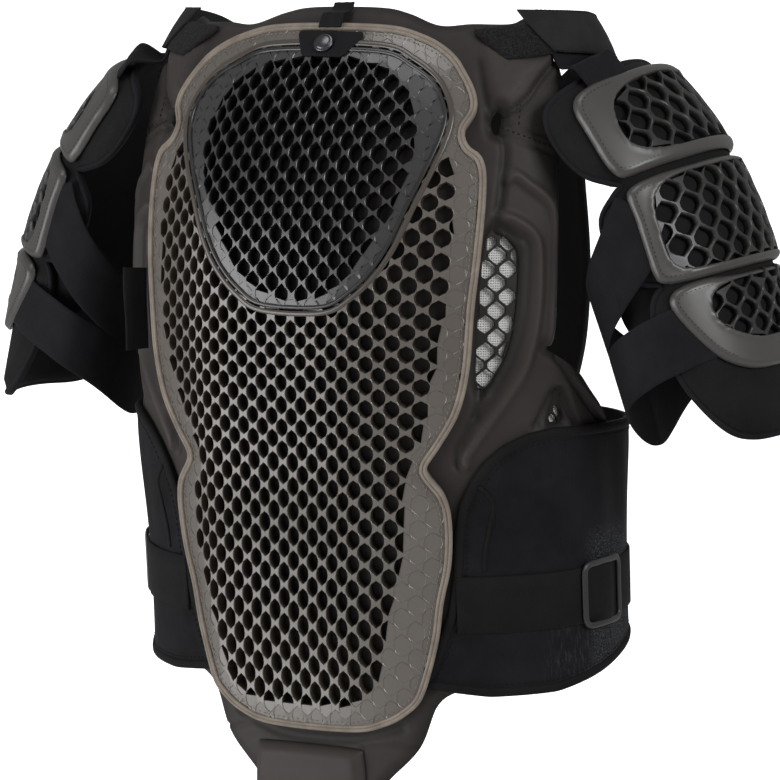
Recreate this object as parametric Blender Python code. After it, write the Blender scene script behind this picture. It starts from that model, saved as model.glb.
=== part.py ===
"""Chest protector for riding: a worn vest with a pierced back plate, a chest plate and hung arm guards.

The wearer looks along +Y, so the back plate faces -Y, and the wearer's right side is +X.
The origin is the middle of the shoulder line, on which the shoulder straps hang.

Most pieces are panels: a flat outline, cut along the lines of a lattice, then laid on a curved form.
There are two kinds of form, the torso and the arm. A panel is drawn as (around, along) in metres.
"""

import math
from collections import namedtuple

import bmesh
import bpy
import numpy as np
from mathutils import Matrix, Vector

# Torso form, on which the inner faces lie
TORSO_HEIGHT = 0.600          # shoulder line down to the form's lower end
TORSO_HALF_WIDTH = 0.161
TORSO_BACK_DEPTH = 0.115
TORSO_FRONT_DEPTH = 0.126
TORSO_ROUNDNESS = 2.35        # power of the rounded-box section, 2 is an ellipse

# Arm form
ARM_LENGTH = 0.230            # along the arm's centre line
ARM_HALF_THICKNESS = 0.055    # from the centre outward
ARM_INNER_THICKNESS = 0.037   # from the centre inward
ARM_HALF_DEPTH = 0.085        # from the centre forward and back
ARM_LEAN_IN = 0.064           # how far the top of the arm reaches in over the shoulder
ARM_FORWARD = 0.022           # centre line in front of the shoulder line
ARM_DROP = 0.098              # top of the centre line below the shoulder line

# Thicknesses
FOAM_THICKNESS = 0.009
PLATE_THICKNESS = 0.0075
CHEST_PLATE_THICKNESS = 0.0045
SHELL_THICKNESS = 0.005
BELT_THICKNESS = 0.0025
STRAP_THICKNESS = 0.0018
MESH_THICKNESS = 0.0010
PATCH_THICKNESS = 0.0012
LUMBAR_PAD_THICKNESS = 0.007
LAYER_GAP = 0.0008            # between two layers on a curved form
SEAM_GAP = 0.0004             # between two pieces side by side

# Back plate
PLATE_HALF_WIDTH = 0.116
PLATE_HEIGHT = 0.457
PLATE_TOP = 0.034             # below the shoulder line
BINDING_WIDTH = 0.0045
BINDING_RISE = 0.0012         # above the plate's face
INSERT_HALF_WIDTH = 0.094
INSERT_HEIGHT = 0.164
INSERT_TOP = 0.046            # below the shoulder line
CELL_PITCH = 0.036            # between two columns of holes
CELL_ROW = 0.031              # between two rows of holes
CELL_HALF_WIDTH = 0.0120
CELL_HALF_HEIGHT = 0.0140
CELL_MARGIN = 0.009           # solid border round the holes

# Back foam and what is let into it
FOAM_HALF_WIDTH = 0.230
FOAM_HEIGHT = 0.546
FOAM_TOP = 0.012
WINDOW_CENTRE = 0.131         # from the spine
WINDOW_HALF_WIDTH = 0.014
WINDOW_TOP = 0.157
WINDOW_HEIGHT = 0.100
LOW_WINDOW_CENTRE = 0.172
LOW_WINDOW_TOP = 0.262
LOW_WINDOW_SIZE = 0.020
EYELET_CENTRE = 0.124
EYELET_LEVEL = 0.087
EYELET_HALF_HEIGHT = 0.008
LUMBAR_PAD_HALF_WIDTH = 0.042
LUMBAR_PAD_HEIGHT = 0.045
LUMBAR_PAD_RISE = 0.056       # its top edge above the foam's lower end

# Chest
CHEST_HALF_WIDTH = 0.122
CHEST_TOP = 0.070
CHEST_TUCK = 0.014            # chest foam under the belt
CHEST_PLATE_INSET = 0.014
CHEST_PLATE_GAP = 0.006       # between the chest plate and the belt

# Kidney belt, waist strap and its slider
BELT_SIDE_GAP = 0.004         # between the binding and the belt
BELT_SHOULDER = 0.160         # from the spine, where the top edge turns level
BELT_TOP = 0.284
BELT_HEIGHT = 0.180
WAIST_STRAP_WIDTH = 0.039
WAIST_STRAP_LEVEL = 0.401
SLIDER_CENTRE = 0.212         # from the spine
SLIDER_WIDTH = 0.036
SLIDER_BAR = 0.0055
SLIDER_THICKNESS = 0.0026
SLIDER_SIDE_ROOM = 0.0012     # between the strap's edge and the slider

# Shoulder
SHOULDER_STRAP_HALF_WIDTH = 0.017
SHOULDER_STRAP_START = 0.166  # from the spine
SHOULDER_STRAP_TUCK = 0.011   # on the chest foam
HOOK_PATCH_START = 0.109
HOOK_PATCH_LEVEL = 0.033
HOOK_PATCH_LENGTH = 0.052
HOOK_PATCH_WIDTH = 0.018
HANGER_THICKNESS = 0.0014
HANGER_START = 0.188          # from the spine, where the arm hanger leaves the shoulder
HANGER_WIDTH = 0.040
HANGER_BACK_ANGLE = 62        # degrees round the arm from its outermost line
HANGER_FRONT_ANGLE = 26

# Small parts
SNAP_RADIUS = 0.0068
SNAP_HEIGHT = 0.0035
SNAP_FACE_SHARE = 0.85        # face radius over base radius
SNAP_PATCH_HALF_WIDTH = 0.020
SNAP_PATCH_HEIGHT = 0.020
LOOP_WIDTH = 0.017
LOOP_LENGTH = 0.028
LABEL_WIDTH = 0.017
LABEL_HEIGHT = 0.054
LABEL_LEVEL = 0.188

# Arm guard bands, as distances down the arm's centre line
ARM_PAD_HALF_SPAN = 0.110     # round the arm from its outermost line
CAP_HALF_SPAN = 0.091
UPPER_SHELL_HALF_SPAN = 0.087
LOWER_SHELL_HALF_SPAN = 0.080
CAP_TOP = 0.002
CAP_HEIGHT = 0.050
SHELL_SPACING = 0.012
UPPER_SHELL_HEIGHT = 0.052
LOWER_SHELL_HEIGHT = 0.064
ARM_CELL_PITCH = 0.027
ARM_STRAP_WIDTH = 0.040

COLUMN_COUNT = 26             # lattice lines round the torso
ARM_COLUMN_COUNT = 20         # lattice lines round the arm
ARM_ROW_COUNT = 8             # lattice lines down the arm

TorsoSection = namedtuple("TorsoSection", "drop width back front")
torso_sections = [
    TorsoSection(-0.06, 0.50, -0.18, 0.32),
    TorsoSection(0.00, 0.71, -0.28, 0.48),
    TorsoSection(0.04, 0.85, -0.42, 0.60),
    TorsoSection(0.10, 0.955, -0.64, 0.75),
    TorsoSection(0.20, 0.99, -0.89, 0.87),
    TorsoSection(0.333, 1.00, -1.00, 0.94),
    TorsoSection(0.50, 0.99, -0.94, 0.97),
    TorsoSection(0.633, 0.97, -0.835, 1.00),
    TorsoSection(0.767, 0.975, -0.765, 1.03),
    TorsoSection(1.00, 1.00, -0.74, 1.05),
]

ArmSection = namedtuple("ArmSection", "drop tilt thick deep")
arm_sections = [
    ArmSection(-0.10, 50, 0.90, 0.98),
    ArmSection(0.00, 46, 0.95, 1.00),
    ArmSection(0.21, 32, 0.98, 0.98),
    ArmSection(0.43, 21, 1.00, 0.94),
    ArmSection(0.61, 17, 0.98, 0.90),
    ArmSection(0.89, 15, 0.95, 0.82),
    ArmSection(1.05, 15, 0.93, 0.80),
]

# Levels of the lattice lines, as shares of the torso's height, closer where the shoulders slope
torso_rows = (-0.05, -0.015, 0.015, 0.045, 0.075, 0.11, 0.15, 0.20, 0.27, 0.36, 0.46, 0.56,
              0.66, 0.76, 0.86, 1.0)

Point = namedtuple("Point", "across down")

# Right half of each outline from the top down, as shares of its half width and height
plate_half = [
    Point(0.33, 0.005), Point(0.60, 0.018), Point(0.77, 0.040), Point(0.86, 0.067), Point(0.91, 0.092),
    Point(0.915, 0.109), Point(0.865, 0.135), Point(0.90, 0.160), Point(0.98, 0.176), Point(1.0, 0.215),
    Point(0.985, 0.295), Point(0.955, 0.375), Point(0.93, 0.455), Point(0.875, 0.515), Point(0.775, 0.563),
    Point(0.70, 0.595), Point(0.72, 0.615), Point(0.79, 0.640), Point(0.82, 0.675), Point(0.81, 0.737),
    Point(0.76, 0.797), Point(0.72, 0.859), Point(0.635, 0.935), Point(0.56, 0.960), Point(0.445, 0.979),
    Point(0.25, 0.992),
]
insert_half = [
    Point(0.42, 0.01), Point(0.70, 0.06), Point(0.88, 0.13), Point(0.98, 0.24), Point(0.97, 0.33),
    Point(0.90, 0.44), Point(0.80, 0.57), Point(0.69, 0.72), Point(0.57, 0.83), Point(0.41, 0.92),
    Point(0.22, 0.975),
]
foam_half = [
    Point(0.13, 0.005), Point(0.24, 0.012), Point(0.35, 0.026), Point(0.46, 0.024), Point(0.60, 0.024),
    Point(0.67, 0.018), Point(0.725, 0.030), Point(0.745, 0.060), Point(0.765, 0.110), Point(0.755, 0.195),
    Point(0.75, 0.380), Point(0.705, 0.400), Point(0.76, 0.415), Point(0.87, 0.450), Point(0.98, 0.500),
    Point(1.0, 0.580), Point(0.95, 0.710), Point(0.65, 0.790), Point(0.45, 0.822), Point(0.37, 0.843),
    Point(0.31, 0.900), Point(0.20, 0.950), Point(0.175, 0.985), Point(0.15, 1.0),
]
chest_half = [
    Point(0.45, 0.04), Point(0.62, 0.0), Point(0.86, 0.02), Point(0.96, 0.10), Point(0.98, 0.30),
    Point(1.0, 0.55), Point(0.94, 0.80), Point(0.78, 0.96), Point(0.40, 1.0),
]
pad_half = [Point(0.80, 0.0), Point(0.97, 0.12), Point(1.0, 0.80), Point(0.85, 1.0)]


def smooth_column(rows, column, drop):
    """Value of one column of a section table at a drop, on a smooth curve through its rows."""
    marks = [row.drop for row in rows]
    values = [getattr(row, column) for row in rows]
    slopes = [(values[min(i + 1, len(rows) - 1)] - values[max(i - 1, 0)])
              / (marks[min(i + 1, len(rows) - 1)] - marks[max(i - 1, 0)]) for i in range(len(rows))]
    i = max(0, min(len(rows) - 2, sum(mark <= drop for mark in marks) - 1))
    span = marks[i + 1] - marks[i]
    t = (drop - marks[i]) / span
    return ((1 + 2 * t) * (1 - t) ** 2 * values[i] + t * (1 - t) ** 2 * span * slopes[i]
            + t * t * (3 - 2 * t) * values[i + 1] + t * t * (t - 1) * span * slopes[i + 1])


class Form:
    """A curved form that panels lie on, made of flat facets between lattice lines."""

    def __init__(self, columns, rows, turn=1):
        self.turn = turn
        self.columns = columns
        self.rows = rows
        self.corners = {}

    def corner(self, i, j):
        """Place and outward normal of the form at one crossing of the lattice."""
        if (i, j) not in self.corners:
            around, along, step = self.columns[i], self.rows[j], 0.0005
            sideways = self.place(around + step, along) - self.place(around - step, along)
            downward = self.place(around, along + step) - self.place(around, along - step)
            normal = downward.cross(sideways).normalized() * self.turn
            self.corners[i, j] = self.place(around, along), normal
        return self.corners[i, j]

    def point(self, around, along, lift):
        """Point over the facet at (around, along), a lift above it."""
        i = max(0, min(len(self.columns) - 2, int(np.searchsorted(self.columns, around, "right")) - 1))
        j = max(0, min(len(self.rows) - 2, int(np.searchsorted(self.rows, along, "right")) - 1))
        u = (around - self.columns[i]) / (self.columns[i + 1] - self.columns[i])
        v = (along - self.rows[j]) / (self.rows[j + 1] - self.rows[j])
        total = Vector()
        for di, dj, share in ((0, 0, (1 - u) * (1 - v)), (1, 0, u * (1 - v)), (0, 1, (1 - u) * v), (1, 1, u * v)):
            place, normal = self.corner(i + di, j + dj)
            total += share * (place + normal * lift)
        return total


class TorsoForm(Form):
    """around is measured from the spine toward +X on the widest section, along is the drop below the origin."""

    def __init__(self):
        turn = np.linspace(0, 2 * math.pi, 2881)
        self.unit_x = np.sign(np.sin(turn)) * np.abs(np.sin(turn)) ** (2 / TORSO_ROUNDNESS)
        self.unit_y = -np.sign(np.cos(turn)) * np.abs(np.cos(turn)) ** (2 / TORSO_ROUNDNESS)
        half_depth = (TORSO_BACK_DEPTH + TORSO_FRONT_DEPTH) / 2
        runs = np.hypot(np.diff(self.unit_x * TORSO_HALF_WIDTH), np.diff(self.unit_y * half_depth))
        self.arc = np.concatenate([[0], np.cumsum(runs)])
        self.girth = float(self.arc[-1])
        columns = [self.girth * i / COLUMN_COUNT for i in range(-COLUMN_COUNT, COLUMN_COUNT + 1)]
        super().__init__(columns, [share * TORSO_HEIGHT for share in torso_rows])

    def place(self, around, along):
        around %= self.girth
        drop = along / TORSO_HEIGHT
        back = smooth_column(torso_sections, "back", drop) * TORSO_BACK_DEPTH
        front = smooth_column(torso_sections, "front", drop) * TORSO_FRONT_DEPTH
        half_width = smooth_column(torso_sections, "width", drop) * TORSO_HALF_WIDTH
        x = half_width * float(np.interp(around, self.arc, self.unit_x))
        y = (back + front) / 2 + (front - back) / 2 * float(np.interp(around, self.arc, self.unit_y))
        return Vector((x, y, -along))


class ArmForm(Form):
    """around is measured from the outermost line toward the back, along runs down the centre line."""

    def __init__(self):
        self.reference = (ARM_HALF_THICKNESS + ARM_HALF_DEPTH) / 2
        self.girth = 2 * math.pi * self.reference
        columns = [self.girth * i / ARM_COLUMN_COUNT for i in range(-ARM_COLUMN_COUNT, ARM_COLUMN_COUNT + 1)]
        rows = [ARM_LENGTH * (i / ARM_ROW_COUNT * 1.12 - 0.08) for i in range(ARM_ROW_COUNT + 1)]
        super().__init__(columns, rows, -1)

    def centre(self, along):
        """Centre line at a distance down the arm, found by adding up its tilt."""
        steps = 24
        x, z = TORSO_HALF_WIDTH + ARM_HALF_THICKNESS - ARM_LEAN_IN, -ARM_DROP
        for i in range(steps):
            tilt = math.radians(smooth_column(arm_sections, "tilt", along * (i + 0.5) / steps / ARM_LENGTH))
            x += math.sin(tilt) * along / steps
            z -= math.cos(tilt) * along / steps
        return x, z

    def place(self, around, along):
        drop = along / ARM_LENGTH
        x, z = self.centre(along)
        tilt = math.radians(smooth_column(arm_sections, "tilt", drop))
        thick = ARM_HALF_THICKNESS * smooth_column(arm_sections, "thick", drop)
        deep = ARM_HALF_DEPTH * smooth_column(arm_sections, "deep", drop)
        angle = around / self.reference
        out = thick * math.cos(angle)
        if out < 0:
            out *= ARM_INNER_THICKNESS / ARM_HALF_THICKNESS
        return Vector((x + math.cos(tilt) * out, ARM_FORWARD - deep * math.sin(angle), z + math.sin(tilt) * out))


torso = TorsoForm()
arm = ArmForm()


def whole(half, half_width, height, top, centre=0.0):
    """Closed outline from the right half of its shares."""
    right = [(centre + p.across * half_width, top + p.down * height) for p in half]
    left = [(2 * centre - around, along) for around, along in reversed(right)]
    return right + left


def grow(outline, distance):
    """The outline moved outward by a distance, inward if it is negative."""
    area = sum(p[0] * q[1] - q[0] * p[1] for p, q in zip(outline, outline[1:] + outline[:1]))
    side = 1 if area > 0 else -1
    grown = []
    for before, here, after in zip(outline[-1:] + outline[:-1], outline, outline[1:] + outline[:1]):
        first = Vector((here[1] - before[1], before[0] - here[0])).normalized()
        second = Vector((after[1] - here[1], here[0] - after[0])).normalized()
        middle = (first + second).normalized()
        reach = side * distance / max(0.5, middle.dot(first))
        grown.append((here[0] + middle.x * reach, here[1] + middle.y * reach))
    return grown


def inside(outline, point, margin):
    """Whether a point lies inside an outline and at least a margin away from its sides."""
    crossed = False
    for (ax, ay), (bx, by) in zip(outline, outline[1:] + outline[:1]):
        if (ay > point[1]) != (by > point[1]) and point[0] < ax + (point[1] - ay) / (by - ay) * (bx - ax):
            crossed = not crossed
        share = ((point[0] - ax) * (bx - ax) + (point[1] - ay) * (by - ay)) / ((bx - ax) ** 2 + (by - ay) ** 2)
        share = max(0.0, min(1.0, share))
        if math.hypot(point[0] - ax - share * (bx - ax), point[1] - ay - share * (by - ay)) < margin:
            return False
    return crossed


def cell(around, along, half_width, half_height):
    """Tall six-sided hole."""
    corners = ((0, -1), (1, -0.45), (1, 0.45), (0, 1), (-1, 0.45), (-1, -0.45))
    return [(around + x * half_width, along + y * half_height) for x, y in corners]


def honeycomb(outline, centre, top, keep_clear=None):
    """Staggered cells that fit inside an outline, clear of a second one."""
    cells = []
    for row in range(-1, int(PLATE_HEIGHT / CELL_ROW) + 2):
        for column in range(-6, 7):
            around = centre + (column + (row % 2) / 2) * CELL_PITCH
            along = top + row * CELL_ROW
            hole = cell(around, along, CELL_HALF_WIDTH, CELL_HALF_HEIGHT)
            if not all(inside(outline, p, CELL_MARGIN) for p in hole):
                continue
            if keep_clear and not all(inside_outer(keep_clear, p) for p in hole):
                continue
            cells.append(hole)
    return cells


def inside_outer(outline, point):
    """Whether a point lies outside an outline, by the cell margin."""
    return not inside(grow(outline, CELL_MARGIN), point, 0.0)


def material(name, colour, roughness, metallic=0.0):
    made = bpy.data.materials.get(name) or bpy.data.materials.new(name)
    made.use_nodes = True
    shader = made.node_tree.nodes["Principled BSDF"]
    shader.inputs["Base Color"].default_value = (*colour, 1)
    shader.inputs["Roughness"].default_value = roughness
    shader.inputs["Metallic"].default_value = metallic
    return made


def add_object(name, bm, stuff):
    """Object from a finished mesh, with its faces pointing out."""
    bmesh.ops.recalc_face_normals(bm, faces=bm.faces)
    mesh = bpy.data.meshes.new(name)
    bm.to_mesh(mesh)
    bm.free()
    mesh.materials.append(stuff)
    made = bpy.data.objects.new(name, mesh)
    bpy.context.scene.collection.objects.link(made)
    return made


def cut_flat(bm, lines, axis):
    """Cuts the flat blank along lattice lines."""
    low = min(v.co[axis] for v in bm.verts)
    high = max(v.co[axis] for v in bm.verts)
    direction = Vector((1, 0, 0)) if axis == 0 else Vector((0, 1, 0))
    for line in lines:
        if low + 1e-6 < line < high - 1e-6:
            everything = bm.verts[:] + bm.edges[:] + bm.faces[:]
            bmesh.ops.bisect_plane(bm, geom=everything, dist=1e-6, plane_co=direction * line, plane_no=direction)


def join_in_facets(bm, form):
    """Joins the blank's faces that lie in one facet of the form, so that few triangles are left."""

    def facet(face):
        middle = face.calc_center_median()
        return np.searchsorted(form.columns, middle.x), np.searchsorted(form.rows, middle.y)

    inner = [e for e in bm.edges if len(e.link_faces) == 2 and facet(e.link_faces[0]) == facet(e.link_faces[1])]
    bmesh.ops.dissolve_edges(bm, edges=inner, use_verts=False, use_face_split=False)
    loose = [v for v in bm.verts if len(v.link_edges) == 2 and not v.is_boundary]
    bmesh.ops.dissolve_verts(bm, verts=loose)


def panel(name, form, outline, lower, upper, stuff, holes=(), creases=(), mirror=False):
    """Panel on a form between two lifts, which are numbers or functions of around and along.

    creases are further lines to cut along, as (axis, place)."""
    bm = bmesh.new()
    edges = []
    for loop in [outline, *holes]:
        verts = [bm.verts.new((around, along, 0)) for around, along in loop]
        edges += [bm.edges.new(pair) for pair in zip(verts, verts[1:] + verts[:1])]
    bmesh.ops.triangle_fill(bm, use_beauty=True, use_dissolve=False, edges=edges, normal=(0, 0, 1))
    cut_flat(bm, form.columns, 0)
    cut_flat(bm, form.rows, 1)
    join_in_facets(bm, form)
    for axis, place in creases:
        cut_flat(bm, [place], axis)
    bmesh.ops.triangulate(bm, faces=bm.faces[:])
    raised = bmesh.ops.extrude_face_region(bm, geom=bm.faces[:], use_keep_orig=True)
    top = {v for v in raised["geom"] if isinstance(v, bmesh.types.BMVert)}
    for v in bm.verts:
        lift = upper if v in top else lower
        if callable(lift):
            lift = lift(v.co.x, v.co.y)
        v.co = form.point(v.co.x, v.co.y, lift)
        if mirror:
            v.co.x = -v.co.x
    return add_object(name, bm, stuff)


def both_sides(name, form, outline, lower, upper, stuff, holes=(), creases=()):
    """The right panel and its mirrored copy on the left."""
    for side, mirror in (("right", False), ("left", True)):
        panel(f"{name}_{side}", form, outline, lower, upper, stuff, holes, creases, mirror)


def band(route, half_width):
    """Outline of a band of even width along a route of points on a form."""
    left, right = [], []
    for i, here in enumerate(route):
        before, after = route[max(i - 1, 0)], route[min(i + 1, len(route) - 1)]
        run = Vector((after[0] - before[0], after[1] - before[1])).normalized()
        left.append((here[0] - run.y * half_width, here[1] + run.x * half_width))
        right.append((here[0] + run.y * half_width, here[1] - run.x * half_width))
    return left + right[::-1]


def box(low_around, high_around, low_along, high_along):
    return [(low_around, low_along), (high_around, low_along), (high_around, high_along), (low_around, high_along)]


def ellipse(around, along, half_width, half_height, count=10):
    turns = [2 * math.pi * i / count for i in range(count)]
    return [(around + half_width * math.cos(t), along + half_height * math.sin(t)) for t in turns]


foam_face = FOAM_THICKNESS
first_layer = foam_face + LAYER_GAP
plate_face = first_layer + PLATE_THICKNESS
binding_face = plate_face + BINDING_RISE
belt_face = first_layer + BELT_THICKNESS
front_centre = torso.girth / 2

foam_outline = whole(foam_half, FOAM_HALF_WIDTH, FOAM_HEIGHT, FOAM_TOP)
plate_outline = whole(plate_half, PLATE_HALF_WIDTH, PLATE_HEIGHT, PLATE_TOP)
binding_outline = grow(plate_outline, SEAM_GAP + BINDING_WIDTH)
insert_outline = whole(insert_half, INSERT_HALF_WIDTH, INSERT_HEIGHT, INSERT_TOP)

window = [
    Point(0.0, 0.0), Point(0.85, 0.10), Point(1.0, 0.24), Point(0.88, 0.50), Point(0.70, 0.68), Point(0.25, 0.84),
    Point(-0.55, 1.0), Point(-1.0, 0.95), Point(-0.85, 0.50), Point(-0.60, 0.06),
]
low_window = [
    Point(0.0, 0.0), Point(0.35, 0.10), Point(0.60, 0.80), Point(0.40, 1.0), Point(-0.40, 1.0), Point(-0.55, 0.80),
]


def shaped(table, centre, top, half_width, height):
    """Closed outline from a table of shares."""
    return [(centre + p.across * half_width, top + p.down * height) for p in table]


def binding_edge(along, reach):
    """Farthest the binding reaches to the right within a reach of a level."""
    edge = 0.0
    for (ax, ay), (bx, by) in zip(binding_outline, binding_outline[1:]):
        for share in (0.0, 0.25, 0.5, 0.75, 1.0):
            if abs(ay + (by - ay) * share - along) < reach:
                edge = max(edge, ax + (bx - ax) * share)
    return edge


def add_snap(level, lift, stuff):
    """Round snap whose flat face stands square on the back."""
    seat = torso.point(0, level, lift)
    out = (torso.point(0, level, lift + 1) - seat).normalized()
    bm = bmesh.new()
    place = Matrix.Translation(seat + out * SNAP_HEIGHT / 2) @ out.to_track_quat("Z", "X").to_matrix().to_4x4()
    bmesh.ops.create_cone(bm, cap_ends=True, segments=16, radius1=SNAP_RADIUS, radius2=SNAP_RADIUS * SNAP_FACE_SHARE,
                          depth=SNAP_HEIGHT, matrix=place)
    bmesh.ops.triangulate(bm, faces=bm.faces[:])
    add_object("snap_button", bm, stuff)


def add_back():
    foam = material("moulded_foam", (0.045, 0.038, 0.035), 0.75)
    smoke = material("smoked_plate", (0.16, 0.14, 0.125), 0.45)
    black = material("black_plate", (0.05, 0.05, 0.05), 0.4)
    tan = material("binding", (0.27, 0.22, 0.18), 0.8)
    cloth = material("black_cloth", (0.012, 0.012, 0.014), 0.9)
    steel = material("dark_steel", (0.20, 0.20, 0.21), 0.3, 1.0)
    net = material("pale_mesh", (0.60, 0.60, 0.59), 0.8)

    openings = []
    for side in (1, -1):
        for table, centre, top, half_width, height in (
                (window, WINDOW_CENTRE, WINDOW_TOP, WINDOW_HALF_WIDTH, WINDOW_HEIGHT),
                (low_window, LOW_WINDOW_CENTRE, LOW_WINDOW_TOP, LOW_WINDOW_SIZE / 2, LOW_WINDOW_SIZE)):
            openings.append([(side * a, d) for a, d in shaped(table, centre, top, half_width, height)])
        openings.append(ellipse(side * EYELET_CENTRE, EYELET_LEVEL, EYELET_HALF_HEIGHT / 2, EYELET_HALF_HEIGHT, 8))
    panel("back_foam", torso, foam_outline, 0, FOAM_THICKNESS, foam, openings)

    pad = whole(pad_half, LUMBAR_PAD_HALF_WIDTH, LUMBAR_PAD_HEIGHT, FOAM_TOP + FOAM_HEIGHT - LUMBAR_PAD_RISE)
    panel("lumbar_pad", torso, pad, first_layer, first_layer + LUMBAR_PAD_THICKNESS, foam)

    insert_hole = grow(insert_outline, SEAM_GAP)
    cells = honeycomb(plate_outline, 0, PLATE_TOP, insert_hole)
    panel("back_plate", torso, plate_outline, first_layer, plate_face, smoke, [insert_hole] + cells)
    cells = honeycomb(insert_outline, 0, PLATE_TOP)
    panel("upper_plate", torso, insert_outline, first_layer, plate_face, black, cells)
    panel("plate_binding", torso, binding_outline, first_layer, binding_face, tan, [grow(plate_outline, SEAM_GAP)])

    patch_low = PLATE_TOP + BINDING_WIDTH + SNAP_PATCH_HEIGHT
    patch = box(-SNAP_PATCH_HALF_WIDTH, SNAP_PATCH_HALF_WIDTH, PLATE_TOP + BINDING_WIDTH, patch_low)
    patch_face = plate_face + LAYER_GAP + PATCH_THICKNESS
    panel("snap_patch", torso, patch, plate_face + LAYER_GAP, patch_face, cloth)
    add_snap(PLATE_TOP + BINDING_WIDTH + SNAP_PATCH_HEIGHT / 2, patch_face + 2 * SEAM_GAP, steel)

    over, under = PLATE_TOP - BINDING_WIDTH - 4 * SEAM_GAP, (FOAM_TOP + PLATE_TOP) / 2 - BINDING_WIDTH
    tag = box(-LOOP_WIDTH / 2, LOOP_WIDTH / 2, over + BINDING_WIDTH - LOOP_LENGTH / 2, over + BINDING_WIDTH + SEAM_GAP)

    def tag_lift(around, along):
        share = max(0.0, min(1.0, (along - under) / (over - under)))
        return first_layer + share * (binding_face - foam_face)

    panel("hanging_loop", torso, tag, tag_lift, lambda a, d: tag_lift(a, d) + PATCH_THICKNESS, cloth,
          creases=((1, over), (1, under)))

    flag = box(-0.133, -0.133 + PATCH_THICKNESS, LABEL_LEVEL, LABEL_LEVEL + LABEL_HEIGHT)
    panel("side_label", torso, flag, foam_face + SEAM_GAP, foam_face + LABEL_WIDTH, cloth)

    edge = 0.008
    low_end = LOW_WINDOW_TOP + LOW_WINDOW_SIZE + edge
    mesh = [
        (WINDOW_CENTRE - WINDOW_HALF_WIDTH - edge, WINDOW_TOP - edge),
        (WINDOW_CENTRE + WINDOW_HALF_WIDTH + edge, WINDOW_TOP - edge),
        (WINDOW_CENTRE + WINDOW_HALF_WIDTH + edge, WINDOW_TOP + WINDOW_HEIGHT - 2 * edge),
        (LOW_WINDOW_CENTRE + LOW_WINDOW_SIZE / 2 + edge, LOW_WINDOW_TOP - edge / 2),
        (LOW_WINDOW_CENTRE + LOW_WINDOW_SIZE / 2 + edge, low_end),
        (LOW_WINDOW_CENTRE - LOW_WINDOW_SIZE / 2 - edge, low_end),
        (WINDOW_CENTRE - WINDOW_HALF_WIDTH - edge, WINDOW_TOP + WINDOW_HEIGHT + edge),
    ]
    both_sides("side_mesh", torso, mesh, -SEAM_GAP - MESH_THICKNESS, -SEAM_GAP, net)


def add_chest():
    foam = material("moulded_foam", (0.045, 0.038, 0.035), 0.75)
    smoke = material("smoked_plate", (0.16, 0.14, 0.125), 0.45)
    outline = whole(chest_half, CHEST_HALF_WIDTH, BELT_TOP + CHEST_TUCK - CHEST_TOP, CHEST_TOP, front_centre)
    panel("chest_foam", torso, outline, 0, FOAM_THICKNESS, foam)
    plate_top = CHEST_TOP + CHEST_PLATE_INSET
    plate = whole(chest_half, CHEST_HALF_WIDTH - CHEST_PLATE_INSET, BELT_TOP - CHEST_PLATE_GAP - plate_top, plate_top,
                  front_centre)
    pierced = grow(plate, -3 * CELL_MARGIN)
    cells = honeycomb(pierced, front_centre, plate_top)
    panel("chest_plate", torso, plate, first_layer, first_layer + CHEST_PLATE_THICKNESS, smoke, cells)


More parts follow.
